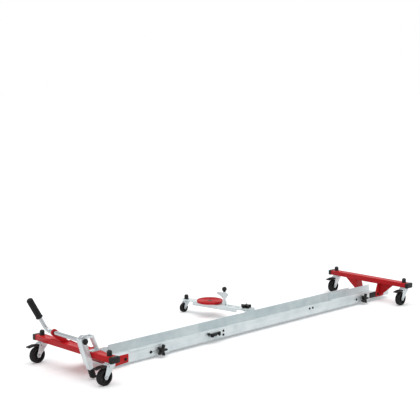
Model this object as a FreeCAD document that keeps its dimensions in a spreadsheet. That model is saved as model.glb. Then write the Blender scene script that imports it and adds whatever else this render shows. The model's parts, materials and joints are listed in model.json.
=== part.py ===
import FreeCAD, Part
import os
import re
import Sketcher
from FreeCAD import Placement, Rotation, Vector

# Motorcycle mover dolly, in millimetres, +X towards the front wheel, +Y to the left, +Z up.
# Lengths along the dolly are counted from the rear axle beam, heights from the floor.

# Bolts along the lap of the rear gussets, and how far forward a fork's leg starts on its crown
GUSSET_BOLT_SHARES = (0.3, 0.8)
FORK_FRONT_SHARE = 0.8

SHEET = "sizes"
SIZES = {
    # Fits
    "overrun": 2,
    "running_fit": 0.05,
    "slip_fit": 0.3,
    # Axle beams: flat rectangular tubes across the dolly
    "axle_spacing": 2140,
    "castor_track": 484,
    "beam_length": 560,
    "beam_depth": 46,
    "beam_height": 25,
    "beam_wall": 2.5,
    "beam_lift": 100,
    "beam_corner": 3,
    "cap_lip": 4,
    "cap_plug": 16,
    # Wheel channel: a rear trough, a middle rail in two lengths and a front tongue, nested
    "trough_width": 158,
    "trough_height": 45,
    "trough_lift": 9,
    "rail_wall": 3,
    "rail_fit": 0.5,
    "rail_bend": 4,
    "middle_height": 50,
    "tongue_height": 38,
    "trough_start": 150,
    "trough_end": 496,
    "middle_start": 250,
    "splice_place": 830,
    "middle_end": 2043,
    "tongue_start": 1860,
    "tongue_end": 2232,
    # Brackets that drop from the beams to the channel
    "bracket_plate": 4,
    "gusset_land": 16,
    "gusset_lap": 90,
    "gusset_raise": 6,
    "cheek_half": 36,
    "cheek_neck": 20,
    "wing_reach": 92,
    "bracket_bolt_radius": 7,
    "bracket_bolt_head": 6,
    "rail_bolt_radius": 6,
    "rail_bolt_head": 4,
    "rail_bolt_place": 1516,
    "rail_bolt_pitch": 26,
    # Corner castors
    "corner_wheel_radius": 37.5,
    "corner_wheel_width": 24,
    "corner_hub_width": 27,
    "corner_hub_radius": 12,
    "corner_web_width": 12,
    "corner_tyre_depth": 9,
    "corner_tread_round": 5,
    "corner_fork_gap": 28,
    "corner_fork_sheet": 2.5,
    "corner_trail": 30,
    "corner_race_radius": 21,
    "corner_race_height": 8,
    "corner_crown_radius": 23,
    "corner_crown_sheet": 4,
    "corner_pin_radius": 6,
    "corner_rivet_radius": 10,
    "corner_rivet_height": 3,
    "corner_axle_radius": 4,
    "corner_axle_head": 3,
    "corner_boss_radius": 10,
    "stem_proud": 14,
    "dome_radius": 12.5,
    "dome_height": 25,
    "dome_round": 9,
    # Brake pedals of the corner castors
    "pedal_reach": 82,
    "pedal_width": 26,
    "pedal_sheet": 5,
    "pedal_pivot_back": 16,
    "pedal_pivot_drop": 17,
    "pedal_pin_radius": 2.5,
    "pedal_eye_radius": 4,
    "shoe_back": 45,
    "shoe_half": 5,
    "shoe_gap": 6.3,
    # Castor at the end of the side arm
    "arm_wheel_radius": 25,
    "arm_wheel_width": 18,
    "arm_hub_width": 21,
    "arm_hub_radius": 8,
    "arm_web_width": 10,
    "arm_tyre_depth": 6,
    "arm_tread_round": 4,
    "arm_fork_gap": 22,
    "arm_fork_sheet": 2,
    "arm_trail": 20,
    "arm_race_radius": 16,
    "arm_race_height": 6,
    "arm_crown_radius": 17,
    "arm_crown_sheet": 3,
    "arm_pin_radius": 5,
    "arm_rivet_radius": 8,
    "arm_rivet_height": 2,
    "arm_axle_radius": 3,
    "arm_axle_head": 2,
    "arm_boss_radius": 7,
    # Star knobs that clamp the telescoping lengths
    "knob_arms": 5,
    "knob_hub_radius": 12,
    "knob_reach": 22,
    "knob_arm_width": 12,
    "knob_thick": 16,
    "knob_standoff": 7,
    "knob_collar_radius": 9,
    "stud_radius": 5,
    "rear_knob_place": 436,
    "front_knob_place": 1981,
    "knob_height": 34,
    "stop_bolt_back": 58,
    # Splice plates and the hook latch on the near wall
    "splice_plate": 4,
    "splice_behind": 24,
    "splice_ahead": 42,
    "splice_low": 20,
    "splice_tall": 38,
    "splice_round": 8,
    "splice_bolt_ahead": 24,
    "splice_bolt_pitch": 20,
    "catch_back": 13,
    "catch_radius": 4,
    "hook_pivot_back": 56,
    "hook_height": 39,
    "hook_pin_radius": 4,
    "hook_eye_radius": 9,
    "hook_thick": 7,
    "hook_gap": 1,
    "hook_bar": 8,
    "hook_lip": 7,
    "hook_tail_back": 24,
    "hook_tail_rise": 15,
    "hook_ball_radius": 7,
    "pin_head_radius": 7,
    "pin_head": 3,
    # Floor lock at the rear beam: lever shaft, eccentric, plunger and rubber foot
    "shaft_radius": 9,
    "shaft_back": 61,
    "shaft_height": 180,
    "lock_side": 135,
    "lock_tilt": 18,
    "housing_width": 32,
    "housing_sheet": 3,
    "housing_behind": 17,
    "housing_ahead": 9,
    "housing_above": 16,
    "housing_below": 112,
    "strap_height": 8,
    "brace_top_back": 8,
    "brace_foot_ahead": 20,
    "brace_sheet": 5,
    "eccentric": 7,
    "cam_radius": 18.5,
    "cam_width": 20,
    "cam_gap": 0.5,
    "cam_lead": 45,
    "plunger_end": 136,
    "foot_half": 17,
    "foot_width": 34,
    "foot_clear": 8,
    "foot_round": 5,
    "shaft_near": 157,
    "shaft_cap_radius": 13,
    "shaft_cap_height": 9,
    "lever_side": 118,
    "lever_bend": 26,
    "lever_lean": 31,
    "lever_length": 178,
    "grip_length": 100,
    "grip_radius": 15.5,
    "grip_end": 4,
    "grip_rings": 6,
    "grip_groove": 1,
    "bearing_side": 66,
    "bearing_plate": 8,
    "bearing_eye": 16,
    "bearing_land": 20,
    "wing_height": 24,
    "wing_length": 98,
    "wing_sheet": 5,
    # Swing arm on the left with its turntable, lock lever and castor
    "arm_pivot_place": 1212,
    "arm_pivot_out": 31,
    "arm_swing": 9.4,
    "arm_plate": 4,
    "arm_lift": 66,
    "arm_width": 56,
    "arm_flange": 22,
    "arm_flange_start": 44,
    "arm_flange_end": 332,
    "arm_reach": 395,
    "arm_end_radius": 24,
    "arm_slot_first": 58,
    "arm_slot_pitch": 44,
    "arm_slot_length": 32,
    "arm_slot_width": 15,
    "arm_slots": 2,
    "lug_plate": 5,
    "lug_half": 34,
    "lug_radius": 22,
    "back_plate": 5,
    "pivot_radius": 7,
    "pivot_proud": 14,
    "disc_place": 236,
    "disc_radius": 70,
    "disc_thick": 9,
    "disc_rim": 3,
    "disc_rim_width": 4,
    "disc_boss_radius": 20,
    "disc_boss": 3,
    "disc_screw_radius": 7,
    "disc_screw_head_radius": 13,
    "disc_screw_head": 4,
    "disc_screw_nut": 5,
    "lock_lever_place": 140,
    "lock_lever_height": 78,
    "lock_lever_radius": 4.5,
    "lock_eye_radius": 8,
    "lock_eye_width": 10,
    "lock_pin_radius": 3,
    "lock_ear_sheet": 4,
    "lock_ear_height": 12,
    "ball_radius": 13,
    "ball_cover": 16,
    # Black hand-hold plug in the near wall of the tongue
    "plug_gap": 3,
    "plug_length": 46,
    "plug_height": 22,
    "plug_proud": 4,
    "plug_lip": 4,
    "plug_round": 5,
}

TOP = "beam_lift + beam_height"
TROUGH_HALF = "trough_width / 2"
MIDDLE_HALF = f"{TROUGH_HALF} - rail_wall - rail_fit"
MIDDLE_LIFT = "trough_lift + rail_wall + rail_fit"
MIDDLE_TOP = f"{MIDDLE_LIFT} + middle_height"
TONGUE_HALF = f"{MIDDLE_HALF} - rail_wall - rail_fit"
TONGUE_LIFT = f"{MIDDLE_LIFT} + rail_wall + rail_fit"
ARM_TOP = "arm_lift + arm_plate"
ARM_PIVOT_SIDE = f"{MIDDLE_HALF} + arm_pivot_out"

# The dolly stands on the middle of its own bounding box
LEVER_BACK = "shaft_back + lever_length * sin(lever_lean) + grip_radius * cos(lever_lean)"
ARM_FAR = f"{ARM_PIVOT_SIDE} + arm_reach * cos(arm_swing) + arm_end_radius"
BEAM_NEAR = "beam_length / 2 + cap_lip"
MID_X = f"(tongue_end - ({LEVER_BACK})) / 2"
MID_Y = f"({ARM_FAR} - ({BEAM_NEAR})) / 2"

doc = FreeCAD.newDocument("mover_dolly")
sheet = doc.addObject("Spreadsheet::Sheet", SHEET)
for row, (alias, size) in enumerate(SIZES.items(), start=1):
    sheet.set(f"A{row}", str(size))
    sheet.setAlias(f"A{row}", alias)
doc.recompute()
nodes = {}


def named(expression):
    """Point every size in an expression at the sheet that holds it."""
    words = r"[a-z][a-z_]*"
    return re.sub(words, lambda word: f"{SHEET}.{word[0]}" if word[0] in SIZES else word[0], expression)


def value(expression):
    return float(sheet.evalExpression(named(expression)))


def new_body(name):
    return doc.addObject("PartDesign::Body", name)


def sketch_on(body, role, offset="0"):
    """A sketch on one of the body's own planes, moved along the plane's normal."""
    plane = next(item for item in body.Origin.OriginFeatures if item.Role == role)
    drawing = body.newObject("Sketcher::SketchObject", "sketch")
    drawing.AttachmentSupport = [(plane, "")]
    drawing.MapMode = "FlatFace"
    drawing.setExpression("AttachmentOffset.Base.z", named(offset))
    return drawing


def hold(drawing, kind, geometry, point, expression):
    """Tie one coordinate of a point to the sheet."""
    size = value(expression)
    index = drawing.addConstraint(Sketcher.Constraint(kind, -1, 1, geometry, point, size))
    drawing.setExpression(f"Constraints[{index}]", named(expression))


def outline(drawing, points):
    """A closed outline of straight lines through points given as expressions."""
    first = drawing.GeometryCount
    places = [Vector(value(across), value(up), 0) for across, up in points]
    count = len(points)
    for index in range(count):
        drawing.addGeometry(Part.LineSegment(places[index], places[(index + 1) % count]))
    for index in range(count):
        following = first + (index + 1) % count
        drawing.addConstraint(Sketcher.Constraint("Coincident", first + index, 2, following, 1))
    for index, (across, up) in enumerate(points):
        hold(drawing, "DistanceX", first + index, 1, across)
        hold(drawing, "DistanceY", first + index, 1, up)
    return drawing


def rectangle(drawing, left, right, low, high):
    return outline(drawing, [(left, low), (right, low), (right, high), (left, high)])


def circle(drawing, across, up, radius):
    centre = Vector(value(across), value(up), 0)
    index = drawing.addGeometry(Part.Circle(centre, Vector(0, 0, 1), value(radius)))
    hold(drawing, "DistanceX", index, 3, across)
    hold(drawing, "DistanceY", index, 3, up)
    tie = drawing.addConstraint(Sketcher.Constraint("Radius", index, value(radius)))
    drawing.setExpression(f"Constraints[{tie}]", named(radius))
    return drawing


def pad(body, drawing, length, side="One side", back=False):
    feature = body.newObject("PartDesign::Pad", "pad")
    feature.Profile = drawing
    feature.SideType = side
    feature.Reversed = back
    feature.setExpression("Length", named(length))
    return feature


def cut(body, drawing, length=None, side="One side", back=False):
    """A pocket, right through unless it has a length, that has to take something away."""
    doc.recompute()
    before = body.Shape.Volume
    feature = body.newObject("PartDesign::Pocket", "cut")
    feature.Profile = drawing
    feature.SideType = side
    feature.Reversed = back
    if length is None:
        feature.Type = "ThroughAll"
    else:
        feature.setExpression("Length", named(length))
    doc.recompute()
    if body.Shape.Volume >= before:
        raise RuntimeError(f"a cut in {body.Label} takes nothing away")
    return feature


def revolve(body, drawing, axis="V_Axis"):
    feature = body.newObject("PartDesign::Revolution", "revolution")
    feature.Profile = drawing
    feature.ReferenceAxis = (drawing, [axis])
    return feature


def soften(body, radius, chosen):
    """Fillet the edges of the body's last feature that a test picks out."""
    doc.recompute()
    base = body.Tip
    names = [f"Edge{index}" for index, edge in enumerate(base.Shape.Edges, start=1) if chosen(edge)]
    feature = body.newObject("PartDesign::Fillet", "soften")
    feature.Base = (base, names)
    feature.setExpression("Radius", named(radius))
    return feature


def along(edge, direction):
    if not isinstance(edge.Curve, Part.Line):
        return False
    return abs(abs(edge.tangentAt(edge.FirstParameter).dot(direction)) - 1) < edge.Tolerance


def place(item, forward="0", side="0", height="0", axis=Vector(0, 0, 1), turn="0"):
    """Set an item in the dolly, turned about an axis through its own origin."""
    item.Placement = Placement(Vector(), Rotation(axis, value(turn)))
    item.setExpression("Placement.Base.x", named(f"{forward} - ({MID_X})"))
    item.setExpression("Placement.Base.y", named(f"{side} - ({MID_Y})"))
    item.setExpression("Placement.Base.z", named(height))
    return item


def node(label, item):
    item.Label = label
    nodes[label] = item
    return item


def group(label, items):
    """Like pieces that share one node, as separate solids."""
    together = doc.addObject("Part::Compound", "group")
    together.Links = items
    return node(label, together)


X, Y, Z = Vector(1, 0, 0), Vector(0, 1, 0), Vector(0, 0, 1)


def channel(label, half, lift, height, start, end):
    """A U rail folded from sheet, open at the top, with rounded bends."""
    body = new_body(label)
    inner = f"{half} - rail_wall"
    section = sketch_on(body, "YZ_Plane", start)
    outline(section, [
        (f"-({half})", lift),
        (half, lift),
        (half, f"{lift} + {height}"),
        (inner, f"{lift} + {height}"),
        (inner, f"{lift} + rail_wall"),
        (f"-({inner})", f"{lift} + rail_wall"),
        (f"-({inner})", f"{lift} + {height}"),
        (f"-({half})", f"{lift} + {height}"),
    ])
    pad(body, section, f"{end} - {start}")
    floor = value(lift)
    soften(body, "rail_bend", lambda edge: along(edge, X)
           and abs(edge.CenterOfMass.z - floor) < edge.Tolerance)
    place(body)
    return node(label, body)


def near_wall_hole(body, forward, height, radius):
    """A round hole through the wall on the -Y side only."""
    cut(body, circle(sketch_on(body, "XZ_Plane"), forward, height, radius), back=True)


def rear_trough():
    body = channel("rear_trough", TROUGH_HALF, "trough_lift", "trough_height", "trough_start", "trough_end")
    near_wall_hole(body, "rear_knob_place", "knob_height", "stud_radius + slip_fit")


def middle_rails():
    section = (MIDDLE_HALF, MIDDLE_LIFT, "middle_height")
    channel("middle_rail_rear", *section, "middle_start", "splice_place")
    body = channel("middle_rail_front", *section, "splice_place", "middle_end")
    near_wall_hole(body, "front_knob_place", "knob_height", "stud_radius + slip_fit")


PLUG_MIDDLE = "axle_spacing - cheek_half - plug_gap - plug_lip - plug_length / 2"
PLUG_HEIGHT = f"{TONGUE_LIFT} + (tongue_height + rail_wall) / 2"


def plug_outline(body, offset, grow):
    """The plug's rectangle in the near wall, grown by the same amount on every side."""
    half_length = f"(plug_length / 2 + {grow})"
    half_height = f"(plug_height / 2 + {grow})"
    return rectangle(sketch_on(body, "XZ_Plane", offset),
                     f"{PLUG_MIDDLE} - {half_length}", f"{PLUG_MIDDLE} + {half_length}",
                     f"{PLUG_HEIGHT} - {half_height}", f"{PLUG_HEIGHT} + {half_height}")


def front_tongue():
    body = channel("front_tongue", TONGUE_HALF, TONGUE_LIFT, "tongue_height", "tongue_start", "tongue_end")
    cut(body, plug_outline(body, "0", "0"), back=True)


def tongue_plug():
    """A black moulded plug that fills the window and has a lip outside it."""
    body = new_body("tongue_plug")
    pad(body, plug_outline(body, f"{TONGUE_HALF} - rail_wall", "-slip_fit"), "rail_wall")
    pad(body, plug_outline(body, TONGUE_HALF, "plug_lip"), "plug_proud")
    outside = -value(TONGUE_HALF)
    soften(body, "plug_round", lambda edge: along(edge, Y) and edge.CenterOfMass.y < outside)
    node("tongue_plug", place(body))


def crossbeam(label, forward):
    body = new_body(label)
    tube = sketch_on(body, "XZ_Plane")
    rectangle(tube, "-beam_depth / 2", "beam_depth / 2", "beam_lift", TOP)
    pad(body, tube, "beam_length", "Symmetric")
    soften(body, "beam_corner", lambda edge: along(edge, Y))
    hollow = sketch_on(body, "XZ_Plane")
    rectangle(hollow, "-beam_depth / 2 + beam_wall", "beam_depth / 2 - beam_wall",
              "beam_lift + beam_wall", f"{TOP} - beam_wall")
    cut(body, hollow, side="Symmetric")
    stems = sketch_on(body, "XY_Plane")
    for side in ("-castor_track / 2", "castor_track / 2"):
        circle(stems, "0", side, "corner_pin_radius + slip_fit")
    cut(body, stems, side="Symmetric")
    node(label, place(body, forward))


def end_caps(label, forward):
    """Black plugs in both ends of a beam."""
    caps = []
    for sign, turn in (("-", "0"), ("", "180")):
        body = new_body("end_cap")
        core = sketch_on(body, "XZ_Plane")
        inset = "beam_wall + slip_fit"
        rectangle(core, f"-beam_depth / 2 + {inset}", f"beam_depth / 2 - ({inset})",
                  f"beam_lift + {inset}", f"{TOP} - ({inset})")
        pad(body, core, "cap_plug", back=True)
        lip = sketch_on(body, "XZ_Plane")
        rectangle(lip, "-beam_depth / 2", "beam_depth / 2", "beam_lift", TOP)
        pad(body, lip, "cap_lip")
        soften(body, "beam_corner", lambda edge: along(edge, Y) and edge.CenterOfMass.y < 0)
        caps.append(place(body, forward, f"{sign}beam_length / 2", turn=turn))
    group(label, caps)


def rear_drop_bracket():
    """The red loading ramp: a sloping plate between two gussets, from the beam to the trough."""
    body = new_body("rear_drop_bracket")
    front = "beam_depth / 2"
    trough_top = "trough_lift + trough_height"
    ramp = outline(sketch_on(body, "XZ_Plane"), [
        (front, TOP),
        (front, f"{TOP} - bracket_plate"),
        ("trough_start", "trough_lift"),
        ("trough_start", "trough_lift + bracket_plate"),
    ])
    pad(body, ramp, "trough_width", "Symmetric")
    for offset, back in ((TROUGH_HALF, False), (f"-{TROUGH_HALF}", True)):
        gusset = outline(sketch_on(body, "XZ_Plane", offset), [
            (front, "beam_lift"),
            ("trough_start", "trough_lift"),
            ("trough_start + gusset_lap", "trough_lift + gusset_raise"),
            ("trough_start + gusset_lap", trough_top),
            ("trough_start + gusset_land", trough_top),
            (f"{front} + gusset_land", TOP),
            (front, TOP),
        ])
        pad(body, gusset, "bracket_plate", back=back)
    node("rear_drop_bracket", place(body))


def front_drop_bracket():
    """Red cheeks beside the tongue, a plate under the beam and a wing out to each side."""
    body = new_body("front_drop_bracket")
    outer = f"{TONGUE_HALF} + bracket_plate"
    tongue_top = f"{TONGUE_LIFT} + tongue_height"
    bridge = sketch_on(body, "XZ_Plane")
    rectangle(bridge, "-cheek_neck", "cheek_neck", "beam_lift - bracket_plate", "beam_lift")
    pad(body, bridge, f"2 * ({outer})", "Symmetric")
    for offset, back in ((TONGUE_HALF, False), (f"-({TONGUE_HALF})", True)):
        cheek = outline(sketch_on(body, "XZ_Plane", offset), [
            ("-cheek_half", f"{TONGUE_LIFT} + rail_bend"),
            ("cheek_half", f"{TONGUE_LIFT} + rail_bend"),
            ("cheek_half", tongue_top),
            ("cheek_neck", "beam_lift"),
            ("-cheek_neck", "beam_lift"),
            ("-cheek_half", tongue_top),
        ])
        pad(body, cheek, "bracket_plate", back=back)
    for sign in ("", "-"):
        wing = outline(sketch_on(body, "YZ_Plane"), [
            (f"{sign}({outer})", f"{TONGUE_LIFT} + rail_bend"),
            (f"{sign}({outer})", "beam_lift"),
            (f"{sign}({outer} + wing_reach)", "beam_lift"),
            (f"{sign}({outer} + wing_reach)", "beam_lift - bracket_plate"),
        ])
        pad(body, wing, "bracket_plate", "Symmetric")
    node("front_drop_bracket", place(body, "axle_spacing"))


def button_bolt(forward, side, height, radius, head, axis=X, turn="90"):
    """A round-headed bolt, its head standing out along -Y unless it is turned."""
    body = new_body("bolt")
    shape = sketch_on(body, "XZ_Plane")
    outline(shape, [("0", "0"), (radius, "0"), (radius, f"{head} / 2"), (f"{radius} / 2", head), ("0", head)])
    revolve(body, shape)
    return place(body, forward, side, height, axis, turn)


def bracket_bolts():
    """Bolts through the gussets and cheeks on both sides, and a stop bolt behind the rear knob."""
    rear, front = [], []
    sizes = ("bracket_bolt_radius", "bracket_bolt_head")
    gusset_face = f"{TROUGH_HALF} + bracket_plate"
    cheek_face = f"{TONGUE_HALF} + bracket_plate"
    middle = "trough_lift + trough_height / 2"
    for share in GUSSET_BOLT_SHARES:
        forward = f"trough_start + gusset_lap * {share}"
        rear.append(button_bolt(forward, f"-({gusset_face})", middle, *sizes))
        rear.append(button_bolt(forward, gusset_face, middle, *sizes, turn="-90"))
    for sign in ("-", ""):
        forward = f"axle_spacing {sign or '+'} cheek_half / 2"
        low = f"{TONGUE_LIFT} + tongue_height / 2"
        front.append(button_bolt(forward, f"-({cheek_face})", low, *sizes))
        front.append(button_bolt(forward, cheek_face, low, *sizes, turn="-90"))
    stop = ("knob_height", "rail_bolt_radius", "rail_bolt_head")
    rear.append(button_bolt("rear_knob_place - stop_bolt_back", f"-{TROUGH_HALF}", *stop))
    group("rear_bracket_bolts", rear)
    group("front_bracket_bolts", front)


def rail_bolts():
    """Small black bolts in the near wall of the middle rail."""
    bolts = []
    top = f"{MIDDLE_TOP} - 2 * rail_bolt_radius"
    for forward in ("rail_bolt_place", "rail_bolt_place + rail_bolt_pitch"):
        bolts.append(button_bolt(forward, f"-({MIDDLE_HALF})", top, "rail_bolt_radius", "rail_bolt_head"))
    stop = ("knob_height", "rail_bolt_radius", "rail_bolt_head")
    bolts.append(button_bolt("front_knob_place - stop_bolt_back", f"-({MIDDLE_HALF})", *stop))
    group("rail_bolts", bolts)


def star_head(body, seat):
    """The hub and arms of a star knob, standing on a seat along the body's own Z."""
    hub = sketch_on(body, "XY_Plane", seat)
    pad(body, circle(hub, "0", "0", "knob_hub_radius"), "knob_thick")
    blade = sketch_on(body, "XY_Plane", seat)
    rectangle(blade, "0", "knob_reach", "-knob_arm_width / 2", "knob_arm_width / 2")
    tip = sketch_on(body, "XY_Plane", seat)
    circle(tip, "knob_reach", "0", "knob_arm_width / 2")
    arm = [pad(body, blade, "knob_thick"), pad(body, tip, "knob_thick")]
    doc.recompute()
    pattern = body.newObject("PartDesign::PolarPattern", "arms")
    pattern.Originals = arm
    pattern.Axis = (blade, ["N_Axis"])
    pattern.setExpression("Occurrences", named("knob_arms"))
    body.Tip = pattern
    doc.recompute()


def clamp_knob(label, forward, wall):
    """A star knob on the near wall, with a collar and a stud that reaches through the wall."""
    body = new_body(label)
    pad(body, circle(sketch_on(body, "XY_Plane"), "0", "0", "knob_collar_radius"), "knob_standoff")
    star_head(body, "knob_standoff")
    pad(body, circle(sketch_on(body, "XY_Plane"), "0", "0", "stud_radius"), "rail_wall", back=True)
    node(label, place(body, forward, f"-({wall} + slip_fit)", "knob_height", X, "90"))


def splice_plates():
    """Rounded plates, bolted to the front length, that reach back over the joint of the rails."""
    plates, bolts = [], []
    long = "splice_behind + splice_ahead"
    middle = "splice_place + (splice_ahead - splice_behind) / 2"
    height = "splice_low + splice_tall / 2"
    for turn, sign in (("0", "-"), ("180", "")):
        body = new_body("splice_plate")
        plate = sketch_on(body, "XZ_Plane")
        rectangle(plate, f"-({long}) / 2", f"({long}) / 2", "splice_low", "splice_low + splice_tall")
        pad(body, plate, "splice_plate")
        soften(body, "splice_round", lambda edge: along(edge, Y))
        plates.append(place(body, middle, f"{sign}({MIDDLE_HALF})", turn=turn))
        face = f"{sign}({MIDDLE_HALF} + splice_plate)"
        out = "90" if sign else "-90"
        for step in ("- splice_bolt_pitch / 2", "+ splice_bolt_pitch / 2"):
            bolts.append(button_bolt("splice_place + splice_bolt_ahead", face, f"{height} {step}",
                                     "rail_bolt_radius", "rail_bolt_head", turn=out))
    group("splice_plates", plates)
    return bolts


HOOK_FACE = f"{MIDDLE_HALF} + splice_plate + hook_gap"


def hook_pins():
    """The hook's pivot on the rear length, and the catch pin on the splice plate."""
    pins = []
    stack = "hook_gap + hook_thick + hook_gap"
    seats = (
        ("splice_place - hook_pivot_back", MIDDLE_HALF, f"splice_plate + {stack}", "hook_pin_radius"),
        ("splice_place - catch_back", f"{MIDDLE_HALF} + splice_plate", stack, "catch_radius"),
    )
    for forward, seat, length, radius in seats:
        body = new_body("hook_pin")
        shape = outline(sketch_on(body, "XZ_Plane"), [
            ("0", "0"),
            (radius, "0"),
            (radius, length),
            ("pin_head_radius", length),
            ("pin_head_radius", f"{length} + pin_head"),
            ("0", f"{length} + pin_head"),
        ])
        revolve(body, shape)
        pins.append(place(body, forward, f"-({seat})", "hook_height", X, "90"))
    return pins


def latch_hook():
    """A black hook that turns on its pivot and drops over the catch pin."""
    body = new_body("latch_hook")
    reach = "hook_pivot_back - catch_back"
    under = "catch_radius + slip_fit"
    over = f"{under} + hook_bar"
    tip = f"{reach} + {under} + hook_lip"
    bar = outline(sketch_on(body, "XZ_Plane"), [
        ("0", "-hook_bar / 2"),
        (f"{reach} - 2 * hook_lip", "-hook_bar / 2"),
        (f"{reach} - 2 * hook_lip", under),
        (f"{reach} + {under}", under),
        (f"{reach} + {under}", "-catch_radius"),
        (tip, "-catch_radius"),
        (tip, over),
        ("0", "hook_eye_radius"),
        ("-hook_tail_back", "hook_tail_rise"),
        ("-hook_tail_back", "hook_tail_rise - hook_bar"),
    ])
    pad(body, bar, "hook_thick")
    pad(body, circle(sketch_on(body, "XZ_Plane"), "0", "0", "hook_eye_radius"), "hook_thick")
    ball = sketch_on(body, "XZ_Plane")
    circle(ball, "-hook_tail_back", "hook_tail_rise - hook_bar / 2", "hook_ball_radius")
    pad(body, ball, "hook_thick")
    eye = sketch_on(body, "XZ_Plane")
    cut(body, circle(eye, "0", "0", "hook_pin_radius + running_fit"), side="Symmetric")
    node("latch_hook", place(body, "splice_place - hook_pivot_back", f"-({HOOK_FACE})", "hook_height"))


def kingpin(kind, forward, side, mount, seat):
    """The fixed half of a castor: race, riveted pin below it and stem through the seat above."""
    body = new_body("kingpin")
    below = f"-({kind}_race_height + 2 * slip_fit + {kind}_crown_sheet)"
    shape = outline(sketch_on(body, "XZ_Plane"), [
        ("0", f"{below} - {kind}_rivet_height"),
        (f"{kind}_rivet_radius", f"{below} - {kind}_rivet_height"),
        (f"{kind}_rivet_radius", below),
        (f"{kind}_pin_radius", below),
        (f"{kind}_pin_radius", f"-{kind}_race_height"),
        (f"{kind}_race_radius", f"-{kind}_race_height"),
        (f"{kind}_race_radius", "0"),
        (f"{kind}_pin_radius", "0"),
        (f"{kind}_pin_radius", f"{seat} + stem_proud"),
        ("0", f"{seat} + stem_proud"),
    ])
    revolve(body, shape)
    return place(body, forward, side, mount)


def stem_dome(kind, forward, side, height):
    """A black cap over the stem's nut."""
    body = new_body("stem_dome")
    inside = f"{kind}_pin_radius + slip_fit"
    shape = outline(sketch_on(body, "XZ_Plane"), [
        (inside, "0"),
        ("dome_radius", "0"),
        ("dome_radius", "dome_height"),
        ("0", "dome_height"),
        ("0", "stem_proud + slip_fit"),
        (inside, "stem_proud + slip_fit"),
    ])
    revolve(body, shape)
    crown = value("dome_height")
    soften(body, "dome_round", lambda edge: abs(edge.CenterOfMass.z - crown) < edge.Tolerance
           and isinstance(edge.Curve, Part.Circle))
    return place(body, forward, side, height)


def castor_fork(label, kind, forward, side, mount):
    """A pressed fork: crown plate and two tapering legs that trail behind the kingpin."""
    body = new_body(label)
    top = f"-({kind}_race_height + slip_fit)"
    under = f"{top} - {kind}_crown_sheet"
    axle = f"{kind}_wheel_radius - {mount}"
    width = f"{kind}_fork_gap + 2 * {kind}_fork_sheet"
    boss = f"{kind}_boss_radius"
    crown = f"{kind}_crown_radius"
    legs = outline(sketch_on(body, "XZ_Plane"), [
        (f"-{crown}", top),
        (f"{crown} * {FORK_FRONT_SHARE}", top),
        (f"{crown} * {FORK_FRONT_SHARE}", f"{under} - {boss} / 2"),
        (f"{boss} - {kind}_trail", axle),
        (f"-{boss} - {kind}_trail", axle),
        (f"-{crown} - {boss} / 2", f"{under} - {boss}"),
    ])
    pad(body, legs, width, "Symmetric")
    pad(body, circle(sketch_on(body, "XZ_Plane"), f"-{kind}_trail", axle, boss), width, "Symmetric")
    gap = sketch_on(body, "XZ_Plane")
    rectangle(gap, f"-{kind}_trail - 2 * {crown}", f"2 * {crown}", f"{axle} - 2 * {boss}", under)
    cut(body, gap, f"{kind}_fork_gap", "Symmetric")
    plate = sketch_on(body, "XY_Plane", under)
    pad(body, circle(plate, "0", "0", crown), f"{kind}_crown_sheet")
    pin = sketch_on(body, "XY_Plane")
    cut(body, circle(pin, "0", "0", f"{kind}_pin_radius + running_fit"), side="Symmetric")
    axle_hole = sketch_on(body, "XZ_Plane")
    circle(axle_hole, f"-{kind}_trail", axle, f"{kind}_axle_radius + running_fit")
    if kind == "corner":
        circle(axle_hole, "-pedal_pivot_back", "-pedal_pivot_drop", "pedal_pin_radius + running_fit")
    cut(body, axle_hole, side="Symmetric")
    node(label, place(body, forward, side, mount))


def castor_axle(label, kind, forward, side):
    body = new_body(label)
    half = f"{kind}_fork_gap / 2 + {kind}_fork_sheet"
    shank = f"{kind}_axle_radius"
    head = f"{half} + {kind}_axle_head"
    shape = outline(sketch_on(body, "YZ_Plane"), [
        (f"-({head})", "0"),
        (f"-({head})", f"2 * {shank}"),
        (f"-({half})", f"2 * {shank}"),
        (f"-({half})", shank),
        (half, shank),
        (half, f"2 * {shank}"),
        (head, f"2 * {shank}"),
        (head, "0"),
    ])
    revolve(body, shape, "H_Axis")
    node(label, place(body, f"{forward} - {kind}_trail", side, f"{kind}_wheel_radius"))


def castor_wheel(label, kind, forward, side):
    """A wheel with a rounded tread, a recessed web on both sides and a hub."""
    body = new_body(label)
    bore = f"{kind}_axle_radius + running_fit"
    hub, web, tread = (f"{kind}_{part}_width / 2" for part in ("hub", "web", "wheel"))
    rim = f"{kind}_wheel_radius - {kind}_tyre_depth"
    corners = [
        (hub, bore),
        (hub, f"{kind}_hub_radius"),
        (web, f"{kind}_hub_radius"),
        (web, rim),
        (tread, rim),
        (tread, f"{kind}_wheel_radius"),
    ]
    mirrored = [(f"-{across}", radius) for across, radius in reversed(corners)]
    revolve(body, outline(sketch_on(body, "YZ_Plane"), corners + mirrored), "H_Axis")
    reach = value(f"{kind}_wheel_radius")
    soften(body, f"{kind}_tread_round", lambda edge: isinstance(edge.Curve, Part.Circle)
           and abs(edge.Curve.Radius - reach) < edge.Tolerance)
    node(label, place(body, f"{forward} - {kind}_trail", side, f"{kind}_wheel_radius"))


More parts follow.
